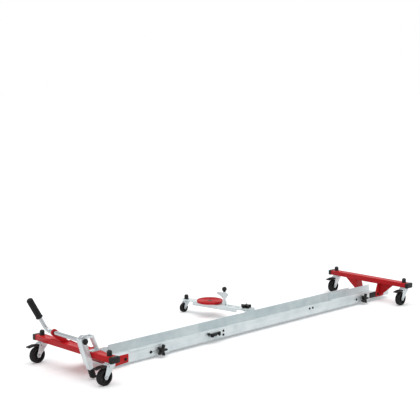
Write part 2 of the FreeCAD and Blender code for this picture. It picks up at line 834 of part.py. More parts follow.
def brake_pedal(label, forward, side):
    """A black pedal between the fork legs, with a shoe above the tread."""
    body = new_body(label)
    lift = "beam_lift - pedal_pivot_drop - corner_wheel_radius"
    shoe = "pedal_pivot_back - shoe_back"
    tread = f"sqrt(corner_wheel_radius ^ 2 - (shoe_back - corner_trail) ^ 2) - ({lift})"
    tip = "pedal_pivot_back - pedal_reach"
    profile = outline(sketch_on(body, "XZ_Plane"), [
        ("0", "-pedal_eye_radius"),
        (f"{shoe} + shoe_half", f"{tread} + shoe_gap"),
        (f"{shoe} - shoe_half", f"{tread} + shoe_gap"),
        (f"{shoe} - shoe_half", "0"),
        (tip, "-pedal_sheet"),
        (tip, "0"),
        (f"{shoe} - shoe_half", "pedal_eye_radius + pedal_sheet / 4"),
        ("0", "pedal_eye_radius"),
    ])
    pad(body, profile, "pedal_width", "Symmetric")
    pad(body, circle(sketch_on(body, "XZ_Plane"), "0", "0", "pedal_eye_radius"), "pedal_width", "Symmetric")
    pin = circle(sketch_on(body, "XZ_Plane"), "0", "0", "pedal_pin_radius")
    pad(body, pin, "corner_fork_gap + 2 * corner_fork_sheet", "Symmetric")
    node(label, place(body, f"{forward} - pedal_pivot_back", side, "beam_lift - pedal_pivot_drop"))


def axle_castors(end, forward):
    """Both castors of one axle beam."""
    sides = (("left", "castor_track / 2"), ("right", "-castor_track / 2"))
    pins = [kingpin("corner", forward, side, "beam_lift", "beam_height") for _, side in sides]
    group(f"{end}_kingpins", pins)
    group(f"{end}_stem_domes", [stem_dome("corner", forward, side, TOP) for _, side in sides])
    for hand, side in sides:
        name = f"{end}_{hand}"
        castor_fork(f"{name}_fork", "corner", forward, side, "beam_lift")
        castor_axle(f"{name}_axle", "corner", forward, side)
        castor_wheel(f"{name}_wheel", "corner", forward, side)
        brake_pedal(f"{name}_brake", forward, side)


def tilted(down, ahead):
    """A point of the floor lock, measured down its own axis and ahead of it, in the dolly's X and Z."""
    return (f"-shaft_back + ({down}) * sin(lock_tilt) + ({ahead}) * cos(lock_tilt)",
            f"shaft_height - ({down}) * cos(lock_tilt) + ({ahead}) * sin(lock_tilt)")


def lock_housing():
    """A sloping guide channel behind the beam, with straps to a brace that stands on the beam."""
    body = new_body("lock_housing")
    low, high = "housing_below", "-housing_above"
    back, front = "-housing_behind", "housing_ahead"
    guide = outline(sketch_on(body, "XZ_Plane"),
                    [tilted(low, back), tilted(low, front), tilted(high, front), tilted(high, back)])
    pad(body, guide, "housing_width", "Symmetric")
    inside, clear = "housing_width - 2 * housing_sheet", "overrun"
    web = f"{back} + housing_sheet"
    hollow = outline(sketch_on(body, "XZ_Plane"), [
        tilted(f"{low} + {clear}", web),
        tilted(f"{low} + {clear}", f"{front} + {clear}"),
        tilted(f"{high} - {clear}", f"{front} + {clear}"),
        tilted(f"{high} - {clear}", web),
    ])
    cut(body, hollow, inside, "Symmetric")
    strap_top = tilted(high, front)[1]
    strap_start = tilted("0", "0")[0]
    for offset, back_way in ((f"({inside}) / 2", False), (f"-({inside}) / 2", True)):
        strap = sketch_on(body, "XZ_Plane", offset)
        rectangle(strap, strap_start, "-brace_top_back", f"{strap_top} - strap_height", strap_top)
        pad(body, strap, "housing_sheet", back=back_way)
    brace = outline(sketch_on(body, "XZ_Plane"), [
        ("-brace_top_back - brace_sheet", strap_top),
        ("-brace_top_back - brace_sheet", f"{strap_top} - strap_height"),
        ("brace_foot_ahead - brace_sheet", f"{TOP} + housing_sheet"),
        ("-beam_depth / 2 + beam_corner", f"{TOP} + housing_sheet"),
        ("-beam_depth / 2 + beam_corner", TOP),
        ("brace_foot_ahead", TOP),
        ("brace_foot_ahead", f"{TOP} + housing_sheet"),
        ("-brace_top_back", f"{strap_top} - strap_height"),
        ("-brace_top_back", strap_top),
    ])
    pad(body, brace, "housing_width", "Symmetric")
    bore = circle(sketch_on(body, "XZ_Plane"), "-shaft_back", "shaft_height", "shaft_radius + running_fit")
    cut(body, bore, side="Symmetric")
    node("lock_housing", place(body, side="-lock_side"))


def lock_bearing():
    """A red plate on the beam that carries the far end of the shaft, with a wing along the beam."""
    body = new_body("lock_bearing")
    foot = "beam_depth / 2 - beam_corner"
    plate = outline(sketch_on(body, "XZ_Plane"), [
        (f"-({foot})", TOP),
        ("bearing_land", TOP),
        ("-shaft_back + bearing_eye * cos(45)", "shaft_height + bearing_eye * sin(45)"),
        ("-shaft_back - bearing_eye * cos(45)", "shaft_height - bearing_eye * sin(45)"),
    ])
    pad(body, plate, "bearing_plate", "Symmetric")
    eye = circle(sketch_on(body, "XZ_Plane"), "-shaft_back", "shaft_height", "bearing_eye")
    pad(body, eye, "bearing_plate", "Symmetric")
    wing = outline(sketch_on(body, "YZ_Plane", f"-({foot})"), [
        ("0", TOP), ("wing_length", TOP), ("0", f"{TOP} + wing_height")])
    pad(body, wing, "wing_sheet")
    bore = circle(sketch_on(body, "XZ_Plane"), "-shaft_back", "shaft_height", "shaft_radius + running_fit")
    cut(body, bore, side="Symmetric")
    node("lock_bearing", place(body, side="bearing_side"))


def lock_lever():
    """A round bar bent once: the shaft along the beam, then the lever up and back."""
    body = new_body("lock_lever")
    path = sketch_on(body, "YZ_Plane")
    start, corner = -value("shaft_near"), value("lever_side")
    bend, length = value("lever_bend"), value("lever_length")
    path.addGeometry(Part.LineSegment(Vector(start, 0, 0), Vector(corner - bend, 0, 0)))
    turn = Part.Circle(Vector(corner - bend, bend, 0), Z, bend)
    path.addGeometry(Part.Arc(Vector(corner - bend, 0, 0),
                              turn.value(turn.parameter(Vector(corner, 0, 0))),
                              Vector(corner, bend, 0)))
    path.addGeometry(Part.LineSegment(Vector(corner, bend, 0), Vector(corner, length, 0)))
    path.addConstraint(Sketcher.Constraint("Horizontal", 0))
    path.addConstraint(Sketcher.Constraint("Vertical", 2))
    path.addConstraint(Sketcher.Constraint("Tangent", 0, 2, 1, 1))
    path.addConstraint(Sketcher.Constraint("Tangent", 1, 2, 2, 1))
    hold(path, "DistanceX", 0, 1, "-shaft_near")
    hold(path, "DistanceY", 0, 1, "0")
    hold(path, "DistanceX", 2, 2, "lever_side")
    hold(path, "DistanceY", 2, 2, "lever_length")
    radius = path.addConstraint(Sketcher.Constraint("Radius", 1, bend))
    path.setExpression(f"Constraints[{radius}]", named("lever_bend"))
    section = circle(sketch_on(body, "XZ_Plane", "shaft_near"), "0", "0", "shaft_radius")
    bar = body.newObject("PartDesign::AdditivePipe", "bar")
    bar.Profile = section
    bar.Spine = path
    node("lock_lever", place(body, "-shaft_back", height="shaft_height", axis=Y, turn="-lever_lean"))


def lock_grip():
    """A black ribbed sleeve over the end of the lever."""
    body = new_body("lock_grip")
    inside = "shaft_radius + running_fit"
    start = "lever_length - grip_length"
    ring = "grip_length / (2 * grip_rings)"
    valley = "grip_radius - grip_groove"
    points = [(inside, start), ("grip_radius", start)]
    for index in range(int(value("grip_rings"))):
        low = f"{start} + {ring} * {2 * index + 1}"
        points += [("grip_radius", low), (valley, low), (valley, f"{low} + {ring} / 2"),
                   ("grip_radius", f"{low} + {ring} / 2")]
    points += [
        ("grip_radius", "lever_length"),
        ("grip_radius - grip_end", "lever_length + grip_end"),
        ("0", "lever_length + grip_end"),
        ("0", "lever_length + running_fit"),
        (inside, "lever_length + running_fit"),
    ]
    revolve(body, outline(sketch_on(body, "XZ_Plane"), points))
    node("lock_grip", place(body, "-shaft_back", "lever_side", "shaft_height", Y, "-lever_lean"))


def lock_shaft_cap():
    """A black cap on the shaft's free end."""
    body = new_body("lock_shaft_cap")
    inside = "shaft_radius + running_fit"
    shape = outline(sketch_on(body, "XZ_Plane"), [
        (inside, "0"),
        ("shaft_cap_radius", "0"),
        ("shaft_cap_radius", "shaft_cap_height"),
        ("0", "shaft_cap_height"),
        ("0", "shaft_near - lock_side - housing_width / 2 - slip_fit"),
        (inside, "shaft_near - lock_side - housing_width / 2 - slip_fit"),
    ])
    revolve(body, shape)
    node("lock_shaft_cap", place(body, "-shaft_back", "-(lock_side + housing_width / 2 + slip_fit)",
                                 "shaft_height", X, "90"))


def lock_cam():
    """The eccentric on the shaft that drives the plunger down as the lever comes forward."""
    body = new_body("lock_cam")
    lead = "lock_tilt + cam_lead"
    disc = sketch_on(body, "XZ_Plane")
    circle(disc, f"eccentric * cos({lead})", f"eccentric * sin({lead})", "cam_radius")
    circle(disc, "0", "0", "shaft_radius + running_fit")
    pad(body, disc, "cam_width", "Symmetric")
    node("lock_cam", place(body, "-shaft_back", "-lock_side", "shaft_height"))


PLUNGER_TOP = "cam_radius - eccentric * sin(cam_lead) + cam_gap"
PLUNGER_BACK = "-housing_behind + housing_sheet + slip_fit"


def lock_plunger():
    """The bar that slides in the guide, pushed by the eccentric."""
    body = new_body("lock_plunger")
    side = outline(sketch_on(body, "XZ_Plane"), [
        tilted("plunger_end", PLUNGER_BACK),
        tilted("plunger_end", "housing_ahead"),
        tilted(PLUNGER_TOP, "housing_ahead"),
        tilted(PLUNGER_TOP, PLUNGER_BACK),
    ])
    pad(body, side, "housing_width - 2 * (housing_sheet + slip_fit)", "Symmetric")
    node("lock_plunger", place(body, side="-lock_side"))


def lock_foot():
    """A rubber foot on the plunger, cut level with the floor."""
    body = new_body("lock_foot")
    sole = []
    for ahead in ("-foot_half", "foot_half"):
        down = f"(shaft_height - foot_clear + ({ahead}) * sin(lock_tilt)) / cos(lock_tilt)"
        sole.append((tilted(down, ahead)[0], "foot_clear"))
    block = [*sole, tilted("plunger_end", "foot_half"), tilted("plunger_end", "-foot_half")]
    pad(body, outline(sketch_on(body, "XZ_Plane"), block), "foot_width", "Symmetric")
    axis = Rotation(Y, -value("lock_tilt")).multVec(Z)
    soften(body, "foot_round", lambda edge: along(edge, axis))
    node("lock_foot", place(body, side="-lock_side"))


def arm_bracket():
    """A plate on the far wall of the middle rail, with a lug above and below the arm's end."""
    body = new_body("arm_bracket")
    seat = MIDDLE_HALF
    plate = sketch_on(body, "XZ_Plane", f"-({seat})")
    top = f"{ARM_TOP} + slip_fit + lug_plate"
    rectangle(plate, "-lug_half", "lug_half", f"{MIDDLE_LIFT} + rail_bend", top)
    pad(body, plate, "back_plate", back=True)
    for low in (f"{ARM_TOP} + slip_fit", "arm_lift - slip_fit - lug_plate"):
        lug = sketch_on(body, "XY_Plane", low)
        outline(lug, [
            ("-lug_half", f"{seat} + back_plate"),
            ("lug_half", f"{seat} + back_plate"),
            ("lug_radius", ARM_PIVOT_SIDE),
            ("-lug_radius", ARM_PIVOT_SIDE),
        ])
        pad(body, lug, "lug_plate")
        nose = sketch_on(body, "XY_Plane", low)
        pad(body, circle(nose, "0", ARM_PIVOT_SIDE, "lug_radius"), "lug_plate")
    bore = circle(sketch_on(body, "XY_Plane"), "0", ARM_PIVOT_SIDE, "pivot_radius + slip_fit")
    cut(body, bore, side="Symmetric")
    node("arm_bracket", place(body, "arm_pivot_place"))


def arm_pivot_bolt():
    body = new_body("arm_pivot_bolt")
    low = "arm_lift - slip_fit - lug_plate"
    high = f"{ARM_TOP} + slip_fit + lug_plate"
    shape = outline(sketch_on(body, "XZ_Plane"), [
        ("0", f"{low} - pin_head"),
        ("pivot_radius + pin_head", f"{low} - pin_head"),
        ("pivot_radius + pin_head", low),
        ("pivot_radius", low),
        ("pivot_radius", high),
        ("stud_radius", high),
        ("stud_radius", f"{high} + pivot_proud"),
        ("0", f"{high} + pivot_proud"),
    ])
    revolve(body, shape)
    node("arm_pivot_bolt", place(body, "arm_pivot_place", ARM_PIVOT_SIDE))


def arm_pivot_knob():
    """A black star knob that screws down on the pivot bolt."""
    body = new_body("arm_pivot_knob")
    star_head(body, "0")
    bore = circle(sketch_on(body, "XY_Plane"), "0", "0", "stud_radius + running_fit")
    cut(body, bore, "pivot_proud", back=True)
    seat = f"{ARM_TOP} + slip_fit + lug_plate + slip_fit"
    node("arm_pivot_knob", place(body, "arm_pivot_place", ARM_PIVOT_SIDE, seat))


ARM_TURN = "90 + arm_swing"


def on_arm(body, reach, height):
    """Place a piece on the swing arm, its own +X pointing out along the arm."""
    return place(body, f"arm_pivot_place - ({reach}) * sin(arm_swing)",
                 f"{ARM_PIVOT_SIDE} + ({reach}) * cos(arm_swing)", height, Z, ARM_TURN)


def side_arm():
    """An inverted channel with a flat eye at each end, slots in its top and ears for the lock lever."""
    body = new_body("side_arm")
    strip = sketch_on(body, "XY_Plane")
    outline(strip, [
        ("0", "-lug_radius"),
        ("arm_flange_start", "-arm_width / 2"),
        ("arm_flange_end", "-arm_width / 2"),
        ("arm_reach", "-arm_end_radius"),
        ("arm_reach", "arm_end_radius"),
        ("arm_flange_end", "arm_width / 2"),
        ("arm_flange_start", "arm_width / 2"),
        ("0", "lug_radius"),
    ])
    pad(body, strip, "arm_plate")
    for reach, radius in (("0", "lug_radius"), ("arm_reach", "arm_end_radius")):
        pad(body, circle(sketch_on(body, "XY_Plane"), reach, "0", radius), "arm_plate")
    ear_half = "lock_eye_width / 2 + slip_fit"
    for sign in ("", "-"):
        flange = sketch_on(body, "XY_Plane", "arm_plate")
        rectangle(flange, "arm_flange_start", "arm_flange_end",
                  f"{sign}(arm_width / 2 - arm_plate)", f"{sign}arm_width / 2")
        pad(body, flange, "arm_flange", back=True)
        ear = sketch_on(body, "XY_Plane", "arm_plate")
        rectangle(ear, "lock_lever_place - lock_eye_radius", "lock_lever_place + lock_eye_radius",
                  f"{sign}({ear_half})", f"{sign}({ear_half} + lock_ear_sheet)")
        pad(body, ear, "lock_ear_height + lock_eye_radius")
    holes = sketch_on(body, "XY_Plane")
    circle(holes, "0", "0", "pivot_radius + running_fit")
    circle(holes, "arm_reach", "0", "arm_pin_radius + slip_fit")
    circle(holes, "disc_place", "0", "disc_screw_radius + slip_fit")
    for index in range(int(value("arm_slots"))):
        middle = f"arm_slot_first + arm_slot_pitch * {index}"
        rectangle(holes, f"{middle} - arm_slot_length / 2", f"{middle} + arm_slot_length / 2",
                  "-arm_slot_width / 2", "arm_slot_width / 2")
    cut(body, holes, side="Symmetric")
    pin = circle(sketch_on(body, "XZ_Plane"), "lock_lever_place", "arm_plate + lock_ear_height",
                 "lock_pin_radius + running_fit")
    cut(body, pin, side="Symmetric")
    node("side_arm", on_arm(body, "0", "arm_lift"))


def turntable():
    """The red disc on the arm, with a raised rim, and the shoulder screw that it turns on."""
    disc = new_body("turntable_disc")
    bore = "disc_screw_radius + running_fit"
    base, face = "disc_boss", "disc_boss + disc_thick"
    recess = "disc_screw_head_radius + slip_fit"
    shape = outline(sketch_on(disc, "XZ_Plane"), [
        (bore, "0"),
        ("disc_boss_radius", "0"),
        ("disc_boss_radius", base),
        ("disc_radius", base),
        ("disc_radius", f"{face} + disc_rim"),
        ("disc_radius - disc_rim_width", f"{face} + disc_rim"),
        ("disc_radius - disc_rim_width", face),
        (recess, face),
        (recess, f"{face} - disc_screw_head - slip_fit"),
        (bore, f"{face} - disc_screw_head - slip_fit"),
    ])
    revolve(disc, shape)
    node("turntable_disc", on_arm(disc, "disc_place", f"{ARM_TOP} + slip_fit"))
    screw = new_body("turntable_screw")
    head = f"slip_fit + {face} - disc_screw_head"
    shank = outline(sketch_on(screw, "XZ_Plane"), [
        ("0", "-arm_plate - disc_screw_nut"),
        ("disc_screw_head_radius", "-arm_plate - disc_screw_nut"),
        ("disc_screw_head_radius", "-arm_plate"),
        ("disc_screw_radius", "-arm_plate"),
        ("disc_screw_radius", head),
        ("disc_screw_head_radius", head),
        ("disc_screw_head_radius", f"{head} + disc_screw_head"),
        ("0", f"{head} + disc_screw_head"),
    ])
    revolve(screw, shank)
    node("turntable_screw", on_arm(screw, "disc_place", ARM_TOP))


def arm_lock_lever():
    """The upright lever in the arm's ears, its cross pin and the black ball on its top."""
    lever = new_body("arm_lock_lever")
    eye = circle(sketch_on(lever, "XZ_Plane"), "0", "0", "lock_eye_radius")
    pad(lever, eye, "lock_eye_width", "Symmetric")
    rod = circle(sketch_on(lever, "XY_Plane"), "0", "0", "lock_lever_radius")
    pad(lever, rod, "lock_lever_height")
    pin = circle(sketch_on(lever, "XZ_Plane"), "0", "0", "lock_pin_radius")
    pad(lever, pin, "lock_eye_width + 2 * (slip_fit + lock_ear_sheet)", "Symmetric")
    pivot = f"{ARM_TOP} + lock_ear_height"
    node("arm_lock_lever", on_arm(lever, "lock_lever_place", pivot))
    ball = doc.addObject("Part::Sphere", "ball")
    ball.setExpression("Radius", named("ball_radius"))
    ball.setExpression("Placement.Base.z", named("lock_lever_height - ball_cover + ball_radius"))
    bore = doc.addObject("Part::Cylinder", "bore")
    bore.setExpression("Radius", named("lock_lever_radius + running_fit"))
    bore.setExpression("Height", named("lock_lever_height + running_fit"))
    knob = doc.addObject("Part::Cut", "ball_knob")
    knob.Base = ball
    knob.Tool = bore
    node("arm_ball_knob", on_arm(knob, "lock_lever_place", pivot))


def arm_castor():
    """The small castor under the end of the arm."""
    forward = "arm_pivot_place - arm_reach * sin(arm_swing)"
    side = f"{ARM_PIVOT_SIDE} + arm_reach * cos(arm_swing)"
    node("arm_kingpin", kingpin("arm", forward, side, "arm_lift", "arm_plate"))
    node("arm_stem_dome", stem_dome("arm", forward, side, ARM_TOP))
    castor_fork("arm_fork", "arm", forward, side, "arm_lift")
    castor_axle("arm_axle", "arm", forward, side)
    castor_wheel("arm_wheel", "arm", forward, side)


def write_parts():
    """Check every object and shape, then write each sub-part to its own file."""
    doc.recompute()
    faulty = [item.Label for item in doc.Objects if {"Invalid", "Error"} & set(item.State)]
    shapes = {label: item.Shape for label, item in nodes.items()}
    faulty += [label for label, shape in shapes.items() if shape.isNull() or not shape.isValid()]
    if faulty:
        raise RuntimeError(f"not built: {faulty}")
    os.makedirs("parts", exist_ok=True)
    for label, shape in shapes.items():
        shape.exportStep(f"parts/{label}.step")
    print(len(shapes), "pieces written")


rear_trough()
middle_rails()
front_tongue()
tongue_plug()
for end, forward in (("rear", "0"), ("front", "axle_spacing")):
    crossbeam(f"{end}_crossbeam", forward)
    end_caps(f"{end}_end_caps", forward)
    axle_castors(end, forward)
rear_drop_bracket()
front_drop_bracket()
bracket_bolts()
rail_bolts()
clamp_knob("rear_star_knob", "rear_knob_place", TROUGH_HALF)
clamp_knob("front_star_knob", "front_knob_place", MIDDLE_HALF)
group("splice_fasteners", splice_plates() + hook_pins())
latch_hook()
lock_housing()
lock_bearing()
lock_lever()
lock_grip()
lock_shaft_cap()
lock_cam()
lock_plunger()
lock_foot()
arm_bracket()
arm_pivot_bolt()
arm_pivot_knob()
side_arm()
turntable()
arm_lock_lever()
arm_castor()
write_parts()
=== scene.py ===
"""Looks of a motorcycle mover dolly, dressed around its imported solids."""
import json
import math

import bmesh
import bpy
from mathutils import Matrix, Vector

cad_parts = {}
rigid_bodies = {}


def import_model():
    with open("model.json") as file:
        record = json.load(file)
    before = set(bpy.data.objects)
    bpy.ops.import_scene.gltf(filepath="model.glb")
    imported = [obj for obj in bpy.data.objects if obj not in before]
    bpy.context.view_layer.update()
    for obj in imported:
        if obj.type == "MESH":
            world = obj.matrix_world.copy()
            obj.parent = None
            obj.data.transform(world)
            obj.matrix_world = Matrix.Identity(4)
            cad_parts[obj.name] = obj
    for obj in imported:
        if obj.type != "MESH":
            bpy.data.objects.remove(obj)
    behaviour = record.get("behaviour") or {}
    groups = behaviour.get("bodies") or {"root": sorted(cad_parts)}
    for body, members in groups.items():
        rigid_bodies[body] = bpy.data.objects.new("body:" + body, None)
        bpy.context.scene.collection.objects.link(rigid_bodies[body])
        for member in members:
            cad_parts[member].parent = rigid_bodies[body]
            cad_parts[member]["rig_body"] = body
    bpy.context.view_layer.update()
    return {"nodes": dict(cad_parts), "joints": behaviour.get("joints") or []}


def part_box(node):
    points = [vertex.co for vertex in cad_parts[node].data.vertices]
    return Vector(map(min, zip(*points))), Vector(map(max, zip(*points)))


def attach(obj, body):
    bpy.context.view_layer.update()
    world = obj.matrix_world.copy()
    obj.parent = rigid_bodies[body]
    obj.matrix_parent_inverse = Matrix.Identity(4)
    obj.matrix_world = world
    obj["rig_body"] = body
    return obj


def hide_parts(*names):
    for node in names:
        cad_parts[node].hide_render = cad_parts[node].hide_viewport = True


bl_info = {
    "name": "Motorcycle Mover Dolly",
    "version": (1, 0, 0),
    "blender": (4, 5, 0),
    "location": "3D View > Sidebar > Dolly",
    "description": "Dresses the solids of a telescoping motorcycle dolly with finished pieces",
    "category": "Object",
}

MM = 0.001

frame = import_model()

Y, Z = Vector((0, 1, 0)), Vector((0, 0, 1))
CORNERS = ("rear_left", "rear_right", "front_left", "front_right")
JOINTS = {joint["name"]: joint for joint in frame["joints"]}


def linear(code):
    """The linear colour of an sRGB hex value."""
    shares = [int(code[start:start + 2], 16) / 255 for start in (1, 3, 5)]
    return [share / 12.92 if share <= 0.04045 else ((share + 0.055) / 1.055) ** 2.4 for share in shares]


def colour_property(label, words, code):
    return bpy.props.FloatVectorProperty(
        name=label, description=words, subtype="COLOR", size=3, min=0, max=1, default=linear(code))


def length_property(label, words, millimetres):
    return bpy.props.FloatProperty(
        name=label, description=words, unit="LENGTH", min=0, precision=5, default=millimetres * MM)


class DollyFinish(bpy.types.PropertyGroup):
    """Colours of the dolly's finishes."""
    zinc: colour_property("Zinc plate", "Plated sheet of the channel, the arm and the forks", "#D0DADD")
    zinc_cloud: colour_property("Zinc cloud", "Paler patches of the passivated zinc", "#E6EDEE")
    red: colour_property("Red coat", "Powder coat of the beams and brackets", "#C4141C")
    red_thin: colour_property("Thin red", "The coat where it pulled thin", "#A30D15")
    bright: colour_property("Bright steel", "Plated bar and turned pins", "#B4B8BB")
    plastic: colour_property("Black plastic", "Moulded knobs, caps and pedals", "#0D0D0E")
    rubber: colour_property("Black rubber", "Tyres and the lock's foot", "#121112")
    rubber_scuff: colour_property("Scuffed rubber", "Rubber that has rubbed on the floor", "#302E2D")
    oxide: colour_property("Black oxide", "Blackened bolts and the hook", "#151617")
    floor: colour_property("Floor", "The pale studio floor", "#F4F5F6")


class DollySizes(bpy.types.PropertyGroup):
    """Small sizes that the looks add to the solids."""
    sheet_edge: length_property("Sheet edge", "Radius on the cut edges of folded sheet", 0.7)
    tube_edge: length_property("Tube edge", "Radius on plates and tube ends", 1.0)
    moulded_edge: length_property("Moulded edge", "Radius on moulded plastic", 2.2)
    bead: length_property("Weld bead", "Radius of a weld's ripples", 2.2)
    bead_pitch: length_property("Weld pitch", "Distance between a weld's ripples", 2.0)
    rib: length_property("Moulded rib", "Width of the ribs on pedals and wheel webs", 2.2)
    rib_height: length_property("Rib height", "How far a pedal's ribs stand up", 1.6)
    groove: length_property("Tread groove", "Depth of the grooves round a tyre", 1.0)
    lever_sheet: length_property("Lever sheet", "Thickness of the arm's pressed lock lever", 4.0)
    foot_rib: length_property("Foot rib", "How far the ribs of the lock's foot stand out", 1.5)
    sleeve: length_property("Cap sleeve", "How far an end cap reaches over its tube", 14.0)
    sleeve_wall: length_property("Cap wall", "How far an end cap stands proud of its tube", 1.2)


def sizes():
    return bpy.context.scene.dolly_sizes


def colours():
    return bpy.context.scene.dolly_finish


def set_inputs(tree, node, inputs):
    """Set each input of a node to a value, or link it to another node's output."""
    for key, given in inputs.items():
        if isinstance(given, bpy.types.NodeSocket):
            tree.links.new(given, node.inputs[key])
        else:
            node.inputs[key].default_value = given


def add(tree, kind, inputs=None, **settings):
    """Add a node with its settings and inputs."""
    node = tree.nodes.new(kind)
    for name, setting in settings.items():
        setattr(node, name, setting)
    set_inputs(tree, node, inputs or {})
    return node


# Materials

# A Mix node's sockets share their names, so they go by number
FLOAT_A, FLOAT_B, FLOAT_OUT = 2, 3, 0
COLOUR_A, COLOUR_B, COLOUR_OUT = 6, 7, 2


def scale_of(millimetres):
    """Noise scale whose features are about this far apart."""
    return 1 / (millimetres * MM)


def rgba(colour):
    return (*colour, 1)


def new_material(name):
    """A new material's empty tree with its shader, and its Object coordinates."""
    material = bpy.data.materials.new(name)
    material.use_nodes = True
    tree = material.node_tree
    tree.nodes.clear()
    shader = add(tree, "ShaderNodeBsdfPrincipled")
    add(tree, "ShaderNodeOutputMaterial", {"Surface": shader.outputs["BSDF"]})
    coordinates = add(tree, "ShaderNodeTexCoord").outputs["Object"]
    return tree, shader, coordinates


def zinc_plated_steel():
    """Electroplated zinc: cool pale metal, clouded by the passivation bath, with faint rolling lines."""
    tree, shader, coordinates = new_material("zinc_plated_steel")
    cloud = add(tree, "ShaderNodeTexNoise", {"Vector": coordinates, "Scale": scale_of(60), "Detail": 5.0})
    # Rolling lines run along the rails, 25 times as long as they are far apart
    rolled = add(tree, "ShaderNodeMapping", {"Vector": coordinates, "Scale": (1 / 25, 1, 1)})
    lines = add(tree, "ShaderNodeTexNoise", {
        "Vector": rolled.outputs["Vector"], "Scale": scale_of(3), "Detail": 3.0})
    streaked = add(tree, "ShaderNodeMix", {
        "Factor": 0.35, FLOAT_A: cloud.outputs["Fac"], FLOAT_B: lines.outputs["Fac"]})
    patch = add(tree, "ShaderNodeMapRange", {
        "Value": streaked.outputs[FLOAT_OUT], "From Min": 0.34, "From Max": 0.66})
    tint = add(tree, "ShaderNodeMix", {
        "Factor": patch.outputs["Result"], COLOUR_A: rgba(colours().zinc),
        COLOUR_B: rgba(colours().zinc_cloud)}, data_type="RGBA")
    rough = add(tree, "ShaderNodeMapRange", {"Value": lines.outputs["Fac"], "To Min": 0.26, "To Max": 0.46})
    bump = add(tree, "ShaderNodeBump", {
        "Height": lines.outputs["Fac"], "Strength": 0.12, "Distance": 0.2 * MM})
    set_inputs(tree, shader, {
        "Base Color": tint.outputs[COLOUR_OUT], "Roughness": rough.outputs["Result"],
        "Normal": bump.outputs["Normal"], "Metallic": 0.4})


def red_powder_coat():
    """Gloss powder coat on steel: an even deep red with the slight orange peel of baked powder."""
    tree, shader, coordinates = new_material("red_powder_coat")
    pull = add(tree, "ShaderNodeTexNoise", {"Vector": coordinates, "Scale": scale_of(45), "Detail": 5.0})
    thin = add(tree, "ShaderNodeMapRange", {
        "Value": pull.outputs["Fac"], "From Min": 0.35, "From Max": 0.75, "To Max": 0.4})
    tint = add(tree, "ShaderNodeMix", {
        "Factor": thin.outputs["Result"], COLOUR_A: rgba(colours().red),
        COLOUR_B: rgba(colours().red_thin)}, data_type="RGBA")
    # Orange peel is about 1 mm across; drawn at 4 mm so that it shows
    peel = add(tree, "ShaderNodeTexNoise", {"Vector": coordinates, "Scale": scale_of(4), "Detail": 2.0})
    bump = add(tree, "ShaderNodeBump", {
        "Height": peel.outputs["Fac"], "Strength": 0.12, "Distance": 0.3 * MM})
    set_inputs(tree, shader, {
        "Base Color": tint.outputs[COLOUR_OUT], "Normal": bump.outputs["Normal"],
        "Roughness": 0.42, "Specular IOR Level": 0.22})


def bright_plated_bar():
    """Bright plated bar: a clear mirror broken by fine turning marks."""
    tree, shader, coordinates = new_material("bright_plated_bar")
    marks = add(tree, "ShaderNodeTexNoise", {"Vector": coordinates, "Scale": scale_of(6), "Detail": 4.0})
    rough = add(tree, "ShaderNodeMapRange", {"Value": marks.outputs["Fac"], "To Min": 0.14, "To Max": 0.3})
    set_inputs(tree, shader, {
        "Base Color": rgba(colours().bright), "Roughness": rough.outputs["Result"], "Metallic": 1})


def moulded_black_plastic():
    """Glass-filled nylon from a spark-eroded mould: near black, satin, with a fine grain."""
    tree, shader, coordinates = new_material("moulded_black_plastic")
    # The mould's grain is about 0.3 mm; drawn at 1.2 mm so that it shows
    grain = add(tree, "ShaderNodeTexNoise", {"Vector": coordinates, "Scale": scale_of(1.2), "Detail": 2.0})
    rough = add(tree, "ShaderNodeMapRange", {"Value": grain.outputs["Fac"], "To Min": 0.34, "To Max": 0.52})
    bump = add(tree, "ShaderNodeBump", {
        "Height": grain.outputs["Fac"], "Strength": 0.2, "Distance": 0.15 * MM})
    set_inputs(tree, shader, {
        "Base Color": rgba(colours().plastic), "Roughness": rough.outputs["Result"],
        "Normal": bump.outputs["Normal"], "Specular IOR Level": 0.3})


def cured_black_rubber():
    """Cured rubber: matt black that greys where it scuffs on the floor."""
    tree, shader, coordinates = new_material("cured_black_rubber")
    scuff = add(tree, "ShaderNodeTexNoise", {"Vector": coordinates, "Scale": scale_of(9), "Detail": 6.0})
    worn = add(tree, "ShaderNodeMapRange", {
        "Value": scuff.outputs["Fac"], "From Min": 0.4, "From Max": 0.8, "To Max": 0.35})
    tint = add(tree, "ShaderNodeMix", {
        "Factor": worn.outputs["Result"], COLOUR_A: rgba(colours().rubber),
        COLOUR_B: rgba(colours().rubber_scuff)}, data_type="RGBA")
    bump = add(tree, "ShaderNodeBump", {
        "Height": scuff.outputs["Fac"], "Strength": 0.15, "Distance": 0.3 * MM})
    set_inputs(tree, shader, {
        "Base Color": tint.outputs[COLOUR_OUT], "Normal": bump.outputs["Normal"],
        "Roughness": 0.68, "Specular IOR Level": 0.25})


def black_oxide_steel():
    """Blackened steel: dark and oily, with a dull metal glint on its edges."""
    tree, shader, coordinates = new_material("black_oxide_steel")
    stain = add(tree, "ShaderNodeTexNoise", {"Vector": coordinates, "Scale": scale_of(5), "Detail": 4.0})
    rough = add(tree, "ShaderNodeMapRange", {"Value": stain.outputs["Fac"], "To Min": 0.34, "To Max": 0.5})
    set_inputs(tree, shader, {
        "Base Color": rgba(colours().oxide), "Roughness": rough.outputs["Result"], "Metallic": 0.55})


FINISHES = {
    "zinc_steel": zinc_plated_steel,
    "bright_steel": bright_plated_bar,
    "red_paint": red_powder_coat,
    "black_plastic": moulded_black_plastic,
    "black_rubber": cured_black_rubber,
    "black_steel": black_oxide_steel,
}


def material_for(slot):
    """The finish of a material slot, made the first time it is asked for."""
    maker = FINISHES[slot]
    if maker.__name__ not in bpy.data.materials:
        maker()
    return bpy.data.materials[maker.__name__]


# Shared mesh work

